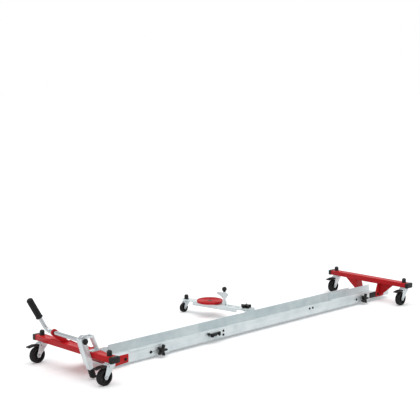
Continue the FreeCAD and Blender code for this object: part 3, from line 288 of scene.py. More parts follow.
FLAT = math.radians(0.5)
MERGE = 0.001 * MM
SHARP = math.radians(34)
TURNS = 64


def body_of(node):
    return frame["nodes"][node]["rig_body"]


def merged(node):
    """A copy of a solid's mesh with its triangles joined and its flat faces whole."""
    work = bmesh.new()
    work.from_mesh(frame["nodes"][node].data)
    bmesh.ops.remove_doubles(work, verts=work.verts, dist=MERGE)
    bmesh.ops.dissolve_limit(work, angle_limit=FLAT, verts=work.verts, edges=work.edges)
    return work


def solids(node):
    """The lowest and highest corner of each separate solid in a node."""
    work = merged(node)
    left = set(work.verts)
    boxes = []
    while left:
        island, edge = set(), [left.pop()]
        while edge:
            vert = edge.pop()
            island.add(vert)
            near = {link.other_vert(vert) for link in vert.link_edges} & left
            left -= near
            edge.extend(near)
        places = list(zip(*(vert.co for vert in island)))
        boxes.append((Vector(map(min, places)), Vector(map(max, places))))
    work.free()
    return sorted(boxes, key=lambda box: tuple(round(value, 6) for value in box[0]))


def placed(name, data):
    """A new object in the scene."""
    item = bpy.data.objects.new(name, data)
    bpy.context.scene.collection.objects.link(item)
    return item


def finished(mesh, body, slot, *nodes, edge=0.0):
    """Make a mesh a piece of its name that rides on a body, in a slot's finish, and stands for solids."""
    mesh.materials.clear()
    mesh.materials.append(material_for(slot))
    mesh.shade_smooth()
    item = placed(mesh.name, mesh)
    if edge:
        bevel = item.modifiers.new("rounded edges", "BEVEL")
        bevel.width = edge
        bevel.segments = 2
        bevel.limit_method = "ANGLE"
        bevel.angle_limit = SHARP
        bevel.harden_normals = True
    else:
        mesh.set_sharp_from_angle(angle=SHARP)
    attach(item, body)
    if nodes:
        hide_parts(*nodes)


def mesh_from(work, name):
    mesh = bpy.data.meshes.new(name)
    work.to_mesh(mesh)
    work.free()
    return mesh


def stands_for(node, work, slot, edge=0.0):
    """Make a mesh the finished piece of a solid, on the solid's own body."""
    finished(mesh_from(work, f"{node}_finished"), body_of(node), slot, node, edge=edge)


def dressed(node, slot, edge):
    """A solid with rounded edges in its finish."""
    stands_for(node, merged(node), slot, edge)


def joined(name, *meshes):
    """One mesh from several."""
    work = bmesh.new()
    for mesh in meshes:
        work.from_mesh(mesh)
    return mesh_from(work, name)


def pivot_of(name):
    return Vector(JOINTS[name]["pos_m"])


def axis_of(name):
    return Vector(JOINTS[name]["axis"]).normalized()


def points_of(node):
    return [vert.co for vert in frame["nodes"][node].data.vertices]


def measured(node, origin, direction):
    """Each point of a solid as its distance along an axis and its distance from it."""
    points = [point - origin for point in points_of(node)]
    return [(point.dot(direction), (point - direction * point.dot(direction)).length) for point in points]


def reach_of(points):
    return max(around for _, around in points)


def arc(centre, radius, start, end, steps=8):
    """Points of an arc in degrees, for an outline."""
    angles = [math.radians(start + (end - start) * step / steps) for step in range(steps + 1)]
    return [(centre[0] + radius * math.cos(angle), centre[1] + radius * math.sin(angle)) for angle in angles]


def skinned(work, rings, closed=False):
    """Faces from each ring of points to the next; a ring of one point closes its end."""
    following = rings[1:] + rings[:1] if closed else rings[1:]
    for first, second in zip(rings, following):
        count = max(len(first), len(second))
        for step in range(count):
            after = (step + 1) % count
            corners = [first[step % len(first)], first[after % len(first)],
                       second[after % len(second)], second[step % len(second)]]
            work.faces.new(dict.fromkeys(corners))
    bmesh.ops.recalc_face_normals(work, faces=work.faces)


def turned(work, profile, place, closed=False):
    """Turn an outline of (radius, height) points about its own Z; a radius of zero closes the end."""
    rings = []
    for radius, height in profile:
        points = arc((0, 0), radius, 0, 360, TURNS)[:-1] if radius > 0 else [(0, 0)]
        rings.append([work.verts.new(place @ Vector((*point, height))) for point in points])
    skinned(work, rings, closed)


def bar(work, radius, low, high, place):
    """A plain round bar between two heights of a place."""
    turned(work, [(0, low), (radius, low), (radius, high), (0, high)], place)


def rounded_outline(wide, tall, corner):
    """A rectangle about its middle, given by its half sizes, with rounded corners."""
    across, up = wide - corner, tall - corner
    centres = ((across, up), (-across, up), (-across, -up), (across, -up))
    return [point for turn, centre in enumerate(centres)
            for point in arc(centre, corner, 90 * turn, 90 * turn + 90, steps=4)]


def lofted(work, sections):
    """A skin through rings of equally many points, closed at both ends."""
    rings = [[work.verts.new(point) for point in section] for section in sections]
    work.faces.new(rings[0])
    work.faces.new(rings[-1])
    skinned(work, rings)


def stacked(work, place, layers):
    """A skin through flat outlines, each at its own height of a place."""
    lofted(work, [[place @ Vector((across, up, height)) for across, up in outline]
                  for height, outline in layers])


def middle(box):
    return (box[0] + box[1]) / 2


def facing(point, direction):
    """A place whose own Z points along a direction."""
    return Matrix.Translation(point) @ direction.to_track_quat("Z", "Y").to_matrix().to_4x4()


# Geometry Nodes

def new_tree(name, lengths):
    """A geometry tree with a named input for each length, and its material."""
    tree = bpy.data.node_groups.new(name, "GeometryNodeTree")
    sockets = tree.interface
    sockets.new_socket("Geometry", in_out="INPUT", socket_type="NodeSocketGeometry")
    for label in lengths:
        sockets.new_socket(label, in_out="INPUT", socket_type="NodeSocketFloat").subtype = "DISTANCE"
    sockets.new_socket("Material", in_out="INPUT", socket_type="NodeSocketMaterial")
    sockets.new_socket("Geometry", in_out="OUTPUT", socket_type="NodeSocketGeometry")
    return tree, add(tree, "NodeGroupInput").outputs


def copied(tree, given, points, form, turn, shares=(1, 1, 1)):
    """End a tree in copies of a form on points, made real geometry with its material."""
    copies = add(tree, "GeometryNodeInstanceOnPoints", {
        "Points": points, "Instance": form, "Rotation": turn.outputs["Rotation"], "Scale": shares})
    real = add(tree, "GeometryNodeRealizeInstances", {"Geometry": copies.outputs["Instances"]})
    painted = add(tree, "GeometryNodeSetMaterial", {
        "Geometry": real.outputs["Geometry"], "Material": given["Material"]})
    add(tree, "NodeGroupOutput", {"Geometry": painted.outputs["Geometry"]})
    return tree


def grown(name, maker, mesh, slot, lengths):
    """Run a maker's tree, made only once, on a mesh and give back the plain mesh that it makes."""
    tree = bpy.data.node_groups.get(maker.__name__) or maker()
    holder = placed(name, mesh)
    modifier = holder.modifiers.new(tree.name, "NODES")
    modifier.node_group = tree
    given = {**lengths, "Material": material_for(slot)}
    for socket in tree.interface.items_tree:
        if socket.in_out == "INPUT" and socket.name in given:
            modifier[socket.identifier] = given[socket.name]
    graph = bpy.context.evaluated_depsgraph_get()
    made = bpy.data.meshes.new_from_object(holder.evaluated_get(graph), depsgraph=graph)
    holder.modifiers.remove(modifier)
    bpy.data.objects.remove(holder)
    made.name = name
    return made


def points_mesh(name, points, edges=(), **directions):
    """Loose points and edges; the points carry the directions in which each piece lies."""
    mesh = bpy.data.meshes.new(name)
    mesh.from_pydata(points, edges, [])
    for label, vectors in directions.items():
        held = mesh.attributes.new(label, "FLOAT_VECTOR", "POINT")
        for spot, vector in zip(held.data, vectors):
            spot.vector = vector
    return mesh


def hexagon_bolts():
    """Hexagon heads with a chamfered top, each on a washer, facing out of its seat."""
    tree, given = new_tree("hexagon_bolts", ("Radius", "Head"))
    shares = {
        "washer": ("Head", 1 / 3), "step": ("Head", 1 / 6), "half": ("Head", 1 / 2), "top": ("Head", 3 / 4),
        "corner": ("Radius", 0.82), "crown": ("Radius", 0.66)}
    size = {
        label: add(tree, "ShaderNodeMath", {0: given[whole], 1: share}, operation="MULTIPLY").outputs[0]
        for label, (whole, share) in shares.items()}
    forms = (
        ("GeometryNodeMeshCylinder", "step", {
            "Vertices": 32, "Radius": given["Radius"], "Depth": size["washer"]}),
        ("GeometryNodeMeshCylinder", "half", {
            "Vertices": 6, "Radius": size["corner"], "Depth": size["half"]}),
        ("GeometryNodeMeshCone", "top", {
            "Vertices": 6, "Radius Bottom": size["corner"], "Radius Top": size["crown"],
            "Depth": size["step"]}))
    bolt = add(tree, "GeometryNodeJoinGeometry")
    for kind, height, lengths in forms:
        form = add(tree, kind, lengths).outputs["Mesh"]
        lift = add(tree, "ShaderNodeCombineXYZ", {"Z": size[height]}).outputs["Vector"]
        raised = add(tree, "GeometryNodeTransform", {"Geometry": form, "Translation": lift})
        tree.links.new(raised.outputs["Geometry"], bolt.inputs["Geometry"])
    out = add(tree, "GeometryNodeInputNamedAttribute", {"Name": "out"}, data_type="FLOAT_VECTOR")
    turn = add(tree, "FunctionNodeAlignRotationToVector", {"Vector": out.outputs["Attribute"]}, axis="Z")
    return copied(tree, given, given["Geometry"], bolt.outputs["Geometry"], turn)


def weld_bead():
    """A rippled weld bead: drops drawn in along the seam, one over the next."""
    tree, given = new_tree("weld_bead", ("Radius", "Pitch"))
    drop_shares = (0.75, 1, 1)
    seam = add(tree, "GeometryNodeMeshToCurve", {"Mesh": given["Geometry"]})
    steps = add(tree, "GeometryNodeResampleCurve", {
        "Curve": seam.outputs["Curve"], "Length": given["Pitch"]}, mode="LENGTH")
    drop = add(tree, "GeometryNodeMeshUVSphere", {"Segments": 10, "Rings": 6, "Radius": given["Radius"]})
    tangent = add(tree, "GeometryNodeInputTangent").outputs["Tangent"]
    turn = add(tree, "FunctionNodeAlignRotationToVector", {"Vector": tangent}, axis="X")
    return copied(tree, given, steps.outputs["Curve"], drop.outputs["Mesh"], turn, drop_shares)


def moulded_ribs():
    """Straight moulded ribs, each lying along its own direction and standing up from its seat."""
    tree, given = new_tree("moulded_ribs", ("Length", "Width", "Height"))
    size = add(tree, "ShaderNodeCombineXYZ", {
        "X": given["Length"], "Y": given["Width"], "Z": given["Height"]})
    rib = add(tree, "GeometryNodeMeshCube", {"Size": size.outputs["Vector"]})
    out, up = [add(tree, "GeometryNodeInputNamedAttribute", {"Name": label}, data_type="FLOAT_VECTOR")
               for label in ("out", "up")]
    turn = add(tree, "FunctionNodeAlignRotationToVector", {"Vector": out.outputs["Attribute"]}, axis="X")
    level = add(tree, "FunctionNodeAlignRotationToVector", {
        "Rotation": turn.outputs["Rotation"], "Vector": up.outputs["Attribute"]}, axis="Z", pivot_axis="X")
    return copied(tree, given, given["Geometry"], rib.outputs["Mesh"], level)


# Pieces

class DOLLY_OT_stage(bpy.types.Operator):
    """Pale floor, soft studio light and the camera"""
    bl_idname = "dolly.stage"
    bl_label = "Stage"

    # The camera's place and aim, measured from the rear beam's middle at floor level
    EYE = Vector((-2.7975, -3.6845, 1.3734))
    AIM = Vector((0.69565, 0.70469, -0.13969))
    LENS = 91.58
    SENSOR = 36.0
    FLOOR_SIZE = 60.0
    LAMP_STRENGTH = 1.6
    LAMP_ANGLE = math.radians(60)
    WORLD_STRENGTH = 0.5
    FLOOR_LIFT = 0.22
    WHITE = (1, 1, 1, 1)

    def execute(self, context):
        self.camera(context)
        self.floor()
        self.lamp()
        self.world(context)
        context.scene.view_settings.view_transform = "Standard"
        return {"FINISHED"}

    def camera(self, context):
        ground = middle(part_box("rear_crossbeam"))
        ground.z = 0
        data = bpy.data.cameras.new("camera")
        data.lens = self.LENS
        data.sensor_width = self.SENSOR
        item = placed("camera", data)
        item.location = ground + self.EYE
        item.rotation_euler = self.AIM.to_track_quat("-Z", "Y").to_euler()
        context.scene.camera = item

    def background_rays(self, tree):
        """1 on the rays that show the background: to the camera, off a shine or through glass."""
        path = add(tree, "ShaderNodeLightPath").outputs
        seen = path["Is Camera Ray"]
        for kind in ("Is Glossy Ray", "Is Transmission Ray"):
            seen = add(tree, "ShaderNodeMath", {0: seen, 1: path[kind]}, operation="MAXIMUM").outputs[0]
        return seen

    def floor(self):
        half = self.FLOOR_SIZE / 2
        corners = [(-half, -half, 0), (half, -half, 0), (half, half, 0), (-half, half, 0)]
        mesh = bpy.data.meshes.new("floor")
        mesh.from_pydata(corners, [], [(0, 1, 2, 3)])
        tree, shader, _ = new_material("matt_studio_floor")
        lift = add(tree, "ShaderNodeMath", {
            0: self.background_rays(tree), 1: self.FLOOR_LIFT}, operation="MULTIPLY")
        set_inputs(tree, shader, {
            "Base Color": rgba(colours().floor), "Roughness": 0.9, "Specular IOR Level": 0.1,
            "Emission Color": self.WHITE, "Emission Strength": lift.outputs[0]})
        mesh.materials.append(bpy.data.materials["matt_studio_floor"])
        item = placed("floor", mesh)

    def lamp(self):
        """A broad soft light from straight above, as bright far off as it is on the dolly."""
        data = bpy.data.lights.new("overhead", "SUN")
        data.energy = self.LAMP_STRENGTH
        data.angle = self.LAMP_ANGLE
        placed("overhead", data)

    def world(self, context):
        world = bpy.data.worlds.new("studio")
        world.use_nodes = True
        tree = world.node_tree
        tree.nodes.clear()
        soft = add(tree, "ShaderNodeBackground", {"Color": self.WHITE, "Strength": self.WORLD_STRENGTH})
        white = add(tree, "ShaderNodeBackground", {"Color": self.WHITE, "Strength": 1.0})
        mixed = add(tree, "ShaderNodeMixShader", {
            0: self.background_rays(tree), 1: soft.outputs["Background"], 2: white.outputs["Background"]})
        add(tree, "ShaderNodeOutputWorld", {"Surface": mixed.outputs["Shader"]})
        context.scene.world = world


class DOLLY_OT_channel(bpy.types.Operator):
    """The four nested lengths of folded zinc-plated channel, and the black plug in the tongue, which is
    painted shade for the shadowed window in its wall
    """
    bl_idname = "dolly.channel"
    bl_label = "Wheel Channel"

    def execute(self, context):
        for node in ("rear_trough", "middle_rail_rear", "middle_rail_front", "front_tongue", "splice_plates"):
            dressed(node, "zinc_steel", sizes().sheet_edge)
        # The tongue plug's black plastic is painted shade: a dark block where the tongue's wall has a window
        # with shadow inside
        dressed("tongue_plug", "black_plastic", sizes().tube_edge)
        dressed("latch_hook", "black_steel", sizes().tube_edge)
        return {"FINISHED"}


class DOLLY_OT_beams(bpy.types.Operator):
    """Red axle beams with their end plugs and drop brackets"""
    bl_idname = "dolly.beams"
    bl_label = "Axle Beams"

    def execute(self, context):
        for end in ("rear", "front"):
            dressed(f"{end}_crossbeam", "red_paint", sizes().sheet_edge)
            dressed(f"{end}_drop_bracket", "red_paint", sizes().tube_edge)
            self.caps(end)
        return {"FINISHED"}

    def caps(self, end):
        """Moulded caps: a plug inside each end of the tube, and a sleeve over it with a rounded face."""
        node = f"{end}_end_caps"
        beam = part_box(f"{end}_crossbeam")
        centre, half = middle(beam), (beam[1] - beam[0]) / 2
        round_by, proud = sizes().moulded_edge, sizes().sleeve_wall
        wide, tall, ease = half.x + proud, half.z + proud, round_by / 4
        work = bmesh.new()
        for low, high in solids(node):
            out = math.copysign(1, middle((low, high)).y - centre.y)
            face, inside = (low.y, high.y) if out < 0 else (high.y, low.y)
            tube_end = centre.y + out * half.y
            lip = tube_end - out * sizes().sleeve
            plug = [point - centre for point in points_of(node) if abs(point.y - inside) < MERGE]
            plug_wide, plug_tall = max(point.x for point in plug), max(point.z for point in plug)
            rings = (
                (inside, plug_wide, plug_tall), (tube_end, plug_wide, plug_tall),
                (tube_end, half.x, half.z), (lip, half.x, half.z),
                (lip, wide, tall), (face - out * round_by, wide, tall),
                (face - out * ease, wide - ease, tall - ease), (face, wide - round_by, tall - round_by))
            lofted(work, [
                [Vector((centre.x + across, along, centre.z + up))
                 for across, up in rounded_outline(ring_wide, ring_tall, round_by)]
                for along, ring_wide, ring_tall in rings])
        stands_for(node, work, "black_plastic")


class DOLLY_OT_bolts(bpy.types.Operator):
    """Hexagon bolts in the brackets, rails and splice"""
    bl_idname = "dolly.bolts"
    bl_label = "Bolts"

    def execute(self, context):
        for node in ("rear_bracket_bolts", "front_bracket_bolts", "rail_bolts"):
            self.group(node, "black_steel")
        dressed("splice_fasteners", "black_steel", sizes().sheet_edge)
        return {"FINISHED"}

    def group(self, node, slot):
        """Heads on both walls of the channel, each facing away from its middle."""
        boxes = solids(node)
        rail = middle(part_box("rear_crossbeam")).y
        seats, sides = [], []
        for low, high in boxes:
            seat = middle((low, high))
            side = Y * math.copysign(1, seat.y - rail)
            seat.y = high.y if side.y < 0 else low.y
            seats.append(seat)
            sides.append(side)
        low, high = boxes[0]
        lengths = {"Radius": (high.x - low.x) / 2, "Head": high.y - low.y}
        mesh = grown(f"{node}_finished", hexagon_bolts, points_mesh(node, seats, out=sides), slot, lengths)
        finished(mesh, body_of(node), slot, node)


class DOLLY_OT_welds(bpy.types.Operator):
    """Painted weld beads where the brackets meet the axle beams"""
    bl_idname = "dolly.welds"
    bl_label = "Welds"

    def execute(self, context):
        lengths = {"Radius": sizes().bead, "Pitch": sizes().bead_pitch}
        groups = {"rear_welds": ("rear_carriage", self.rear_seams()),
                  "front_welds": ("front_carriage", self.front_seams())}
        for name, (body, seams) in groups.items():
            points = [point for seam in seams for point in seam]
            edges = [(2 * index, 2 * index + 1) for index in range(len(seams))]
            path = points_mesh(f"{name}_seams", points, edges)
            mesh = grown(name, weld_bead, path, "red_paint", lengths)
            finished(mesh, body, "red_paint")
        return {"FINISHED"}

    def rear_seams(self):
        """Ramp and gussets on the beam's front face, and the bearing plate on its top."""
        beam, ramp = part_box("rear_crossbeam"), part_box("rear_drop_bracket")
        near, far, bearing = ramp[0].y, ramp[1].y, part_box("lock_bearing")[0].y
        face, under, top, edge = beam[1].x, beam[0].z, beam[1].z, sizes().moulded_edge
        return [
            ((face, near, top), (face, far, top)),
            ((face, near, under), (face, near, top)),
            ((face, far, under), (face, far, top)),
            ((beam[0].x + edge, bearing, top), (face - edge, bearing, top))]

    def front_seams(self):
        """The bridge plate under the front beam, along both of its edges."""
        beam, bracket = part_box("front_crossbeam"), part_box("front_drop_bracket")
        tongue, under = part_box("front_tongue"), beam[0].z
        edges = [max(beam[0].x, min(beam[1].x, corner.x)) for corner in bracket]
        return [((edge, tongue[0].y, under), (edge, tongue[1].y, under)) for edge in edges]


class DOLLY_OT_wheels(bpy.types.Operator):
    """Black tyres on moulded rims with ribbed webs"""
    bl_idname = "dolly.wheels"
    bl_label = "Castor Wheels"

    RIM_SHARE = 0.76
    SHOULDER_SHARE = 0.13
    BORE_SHARE = 0.11
    HUB_SHARE = 0.32
    LIP_SHARE = 0.06
    INSIDE_SHARE = 0.98
    RIBS = 6

    def execute(self, context):
        for name in (*CORNERS, "arm"):
            self.wheel(name)
        return {"FINISHED"}

    def wheel(self, name):
        """The tyre, as wide as the solid just inside its rim's edge, and the rim that carries it."""
        node = f"{name}_wheel"
        centre = middle(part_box(node))
        points = measured(node, centre, Y)
        radius = reach_of(points)
        hub_half = max(points)[0]
        inside = radius * self.RIM_SHARE * self.INSIDE_SHARE
        half = max(along for along, around in points if around > inside)
        place = facing(centre, Y)
        tyre = bmesh.new()
        turned(tyre, self.tyre_outline(radius, half), place, closed=True)
        finished(mesh_from(tyre, f"{name}_tyre"), body_of(node), "black_rubber", node)
        rim = bmesh.new()
        turned(rim, self.rim_outline(radius, half, hub_half), place, closed=True)
        disc = mesh_from(rim, f"{name}_disc")
        web = self.web_ribs(name, centre, radius, half)
        finished(joined(f"{name}_rim", disc, web), body_of(node), "black_plastic")

    def tyre_outline(self, radius, half):
        """Rounded shoulders and two grooves round the tread."""
        rim, shoulder = radius * self.RIM_SHARE, radius * self.SHOULDER_SHARE
        flat, depth = half - shoulder, sizes().groove
        outline = [(rim, -half), *arc((radius - shoulder, -flat), shoulder, -90, 0)]
        for place in (-flat / 2, flat / 2):
            outline += [(radius, place - depth), (radius - depth, place - depth / 2),
                        (radius - depth, place + depth / 2), (radius, place + depth)]
        return [*outline, *arc((radius - shoulder, flat), shoulder, 0, 90), (rim, half)]

    def rim_outline(self, radius, half, hub_half):
        """Bore, hub, recessed web and lip, the same on both sides."""
        bore, hub = radius * self.BORE_SHARE, radius * self.HUB_SHARE
        rim, lip = radius * self.RIM_SHARE, radius * self.LIP_SHARE
        web, edge = half / 2, sizes().sheet_edge
        side = [(bore, hub_half), (hub - edge, hub_half), (hub, hub_half - edge), (hub, web + edge),
                (hub + edge, web), (rim - lip - edge, web), (rim - lip, web + edge), (rim - lip, half - edge),
                (rim + edge, half - edge)]
        return side + [(across, -up) for across, up in reversed(side)]

    def web_ribs(self, name, centre, radius, half):
        """Straight ribs from the hub to the rim, on both faces of the web."""
        inner, outer = radius * self.HUB_SHARE, radius * (self.RIM_SHARE - self.LIP_SHARE)
        height = half / 4
        seats, outs, ups = [], [], []
        for side in (-1, 1):
            for step in range(self.RIBS):
                angle = 2 * math.pi * step / self.RIBS
                out = Vector((math.cos(angle), 0, math.sin(angle)))
                seats.append(centre + out * (inner + outer) / 2 + Y * side * (half + height) / 2)
                outs.append(out)
                ups.append(Y * side)
        lengths = {"Length": outer - inner, "Width": sizes().rib, "Height": height}
        spots = points_mesh(name, seats, out=outs, up=ups)
        return grown(f"{name}_web", moulded_ribs, spots, "black_plastic", lengths)


class DOLLY_OT_castors(bpy.types.Operator):
    """Pressed castor forks, bolted axles, kingpins and stem domes"""
    bl_idname = "dolly.castors"
    bl_label = "Castor Forks"

    CROWN_SHARE = 0.72

    def execute(self, context):
        for name in (*CORNERS, "arm"):
            dressed(f"{name}_fork", "zinc_steel", sizes().tube_edge)
            self.axle(name)
        for node in ("rear_kingpins", "front_kingpins", "arm_kingpin"):
            dressed(node, "zinc_steel", sizes().sheet_edge)
        for node in ("rear_stem_domes", "front_stem_domes", "arm_stem_dome"):
            self.domes(node)
        return {"FINISHED"}

    def axle(self, name):
        """A plain shank, half as wide as its hexagon head and nut outside the fork."""
        node = f"{name}_axle"
        centre = middle(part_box(node))
        points = measured(node, centre, Y)
        end, radius = max(points)[0], reach_of(points)
        seat = min(abs(along) for along, around in points if around > radius - MERGE)
        shank = bmesh.new()
        bar(shank, radius / 2, -seat, seat, facing(centre, Y))
        seats = points_mesh(node, [centre - Y * seat, centre + Y * seat], out=[-Y, Y])
        lengths = {"Radius": radius, "Head": end - seat}
        heads = grown(f"{name}_nuts", hexagon_bolts, seats, "bright_steel", lengths)
        mesh = joined(f"{node}_finished", mesh_from(shank, node), heads)
        finished(mesh, body_of(node), "bright_steel", node)

    def domes(self, node):
        """Moulded caps with a rounded crown, a waist ring and a foot lip."""
        work = bmesh.new()
        for low, high in solids(node):
            radius, height = (high.x - low.x) / 2, high.z - low.z
            crown, ring = radius * self.CROWN_SHARE, sizes().groove
            outline = [(0, 0), (radius, 0), (radius, 2 * ring), (radius - ring, 3 * ring),
                       (radius - ring, height - crown),
                       *arc((radius - ring - crown, height - crown), crown, 0, 90), (0, height)]
            seat = middle((low, high))
            seat.z = low.z
            turned(work, outline, Matrix.Translation(seat))
        stands_for(node, work, "black_plastic")


class DOLLY_OT_pedals(bpy.types.Operator):
    """Brake pedals with ribs across their treads"""
    bl_idname = "dolly.pedals"
    bl_label = "Brake Pedals"

    RIBS = 6

    def execute(self, context):
        for name in CORNERS:
            node = f"{name}_brake"
            dressed(node, "black_plastic", sizes().tube_edge)
            finished(self.ribs(node), body_of(node), "black_plastic")
        return {"FINISHED"}

    def ribs(self, node):
        """Ribs from the pedal's tip up to its crown, square to the slope."""
        low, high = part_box(node)
        centre = middle((low, high)).y
        points = points_of(node)
        tips = [point for point in points if point.x < low.x + sizes().sheet_edge]
        tip = max(tips, key=lambda point: point.z)
        crowns = [point for point in points if point.z > high.z - MERGE]
        crown = min(crowns, key=lambda point: point.x)
        slope = Vector((crown.x - tip.x, 0, crown.z - tip.z))
        up = Vector((-slope.z, 0, slope.x)).normalized()
        width = max(point.y for point in points if point.x < crown.x) - centre
        start = Vector((tip.x, centre, tip.z))
        seats = [start + slope * (step + 0.5) / self.RIBS for step in range(self.RIBS)]
        lengths = {"Length": 2 * (width - sizes().moulded_edge), "Width": sizes().rib,
                   "Height": 2 * sizes().rib_height}
        spots = points_mesh(node, seats, out=[Y] * self.RIBS, up=[up] * self.RIBS)
        return grown(f"{node}_ribs", moulded_ribs, spots, "black_plastic", lengths)


class DOLLY_OT_star_knobs(bpy.types.Operator):
    """Five-armed moulded knobs that clamp the channel and the arm"""
    bl_idname = "dolly.star_knobs"
    bl_label = "Star Knobs"

    ARMS = 5
    HUB_SHARE = 0.32
    ARM_SHARE = 0.18
    HOLLOW_SHARE = 0.06
    CAP_SHARE = 0.8
    NECK_SHARE = 0.9
    NECK_GAP = 0.3 * MM
    RISE = 1 * MM

    def execute(self, context):
        for node, joint in (("rear_star_knob", "rear_knob_turn"), ("front_star_knob", "front_knob_turn"),
                            ("arm_pivot_knob", "pivot_knob_turn")):
            self.knob(node, pivot_of(joint), axis_of(joint))
        return {"FINISHED"}

    def outline(self, reach, inset):
        """A star of straight arms with round ends and hollowed corners, drawn in by an inset all round."""
        half, hollow = reach * self.ARM_SHARE, reach * self.HOLLOW_SHARE
        step = 180 / self.ARMS
        tip = arc((reach - half, 0), half - inset, -90, 90)
        corner_at = (half + hollow) / math.sin(math.radians(step))
        corner = arc((corner_at, 0), hollow + inset, 270 - step, 90 + step)
        points = []
        for turn in range(2 * self.ARMS):
            spin = Matrix.Rotation(math.radians(turn * step), 2)
            points += [spin @ Vector(point) for point in (corner if turn % 2 else tip)]
        return points

    def knob(self, node, pivot, axis):
        """The star with a raised cap, a neck where it stands off its seat, and a stud where it has one."""
        points = measured(node, pivot, axis)
        reach, end = reach_of(points), max(points)[0]
        start = min(along for along, around in points if around > reach / 2)
        foot = min(points)[0]
        place, round_by, rise = facing(pivot, axis), sizes().moulded_edge, self.RISE
        ease = round_by / 3
        levels = [(start, round_by), (start + ease, ease), (start + round_by, 0),
                  (end - round_by, 0), (end - ease, ease), (end, round_by)]
        work = bmesh.new()
        stacked(work, place, [(height, self.outline(reach, inset)) for height, inset in levels])
        hub = reach * self.HUB_SHARE
        cap, crown, root = hub * self.CAP_SHARE, end + rise, end - rise
        turned(work, [(0, crown), (cap - rise, crown), (cap, end), (cap, root), (0, root)], place)
        if start > 2 * rise:
            bar(work, hub * self.NECK_SHARE, self.NECK_GAP, start + rise, place)
        stands_for(node, work, "black_plastic")
        if foot < -rise:
            stud = min(around for along, around in points if along < foot + MERGE and around > rise)
            work = bmesh.new()
            bar(work, stud, foot, start, place)
            finished(mesh_from(work, f"{node}_stud"), body_of(node), "bright_steel")


class DOLLY_OT_floor_lock(bpy.types.Operator):
    """The lever, eccentric, guide, plunger and foot that hold the dolly still"""
    bl_idname = "dolly.floor_lock"
    bl_label = "Floor Lock"

    GRIP_RIDGES = 9
    RIDGE_STEPS = 10
    FLANGE_SWELLS = 5
    CROWN_SHARE = 0.6
    MOUTH_SHARE = 0.6
    FOOT_RIBS = 5
    RIB_STEPS = 8
    FOOT_SHARE = 0.72
    CORNER_SHARE = 0.25
    SOCKET_SHARE = 0.125

    def execute(self, context):
        dressed("lock_housing", "zinc_steel", sizes().tube_edge)
        dressed("lock_bearing", "red_paint", sizes().tube_edge)
        dressed("lock_lever", "bright_steel", 0)
        dressed("lock_shaft_cap", "black_plastic", sizes().moulded_edge)
        dressed("lock_cam", "bright_steel", sizes().sheet_edge)
        dressed("lock_plunger", "zinc_steel", sizes().tube_edge)
        self.grip()
        self.foot()
        return {"FINISHED"}

    def grip(self):
        """A sleeve with a flange at its foot, rounded ridges and a domed end."""
        node = "lock_grip"
        origin, centre = pivot_of("lock_turn"), middle(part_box(node))
        origin.y = centre.y
        direction = (centre - origin).normalized()
        points = measured(node, origin, direction)
        start, end = min(points)[0], max(points)[0]
        radius, swell = reach_of(points), sizes().groove
        body, crown = radius - swell, radius * self.CROWN_SHARE
        low, high = start + self.FLANGE_SWELLS * swell, end - crown
        outline = [(0, start), (body * self.MOUTH_SHARE, start), (radius, start), (radius, low - swell)]
        steps = self.RIDGE_STEPS * self.GRIP_RIDGES
        for step in range(steps + 1):
            wave = math.cos(2 * math.pi * self.GRIP_RIDGES * step / steps)
            outline.append((body - swell / 2 + wave * swell / 2, low + (high - low) * step / steps))
        outline += [*arc((body - crown, high), crown, 0, 90), (0, end)]
        work = bmesh.new()
        turned(work, outline, facing(origin, direction))
        stands_for(node, work, "black_rubber")

    def foot(self):
        """A ribbed rubber foot that leans with the plunger and is cut level with the floor."""
        node = "lock_foot"
        low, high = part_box(node)
        shaft, axis = pivot_of("lock_turn"), axis_of("lock_press")
        shaft.y = middle((low, high)).y
        half = (high.y - low.y) / 2 * self.FOOT_SHARE
        bottom, top = low.z, high.z - (high.z - low.z) * self.SOCKET_SHARE
        sections = []
        steps = self.RIB_STEPS * self.FOOT_RIBS
        for step in range(steps + 1):
            height = bottom + (top - bottom) * step / steps
            wave = 0.5 + 0.5 * math.cos(2 * math.pi * self.FOOT_RIBS * step / steps)
            centre = shaft + axis * ((height - shaft.z) / axis.z)
            reach = half - sizes().foot_rib * (1 - wave)
            outline = rounded_outline(reach, reach, half * self.CORNER_SHARE)
            sections.append([centre + Vector((across, side, 0)) for across, side in outline])
        work = bmesh.new()
        lofted(work, sections)
        stands_for(node, work, "black_rubber")


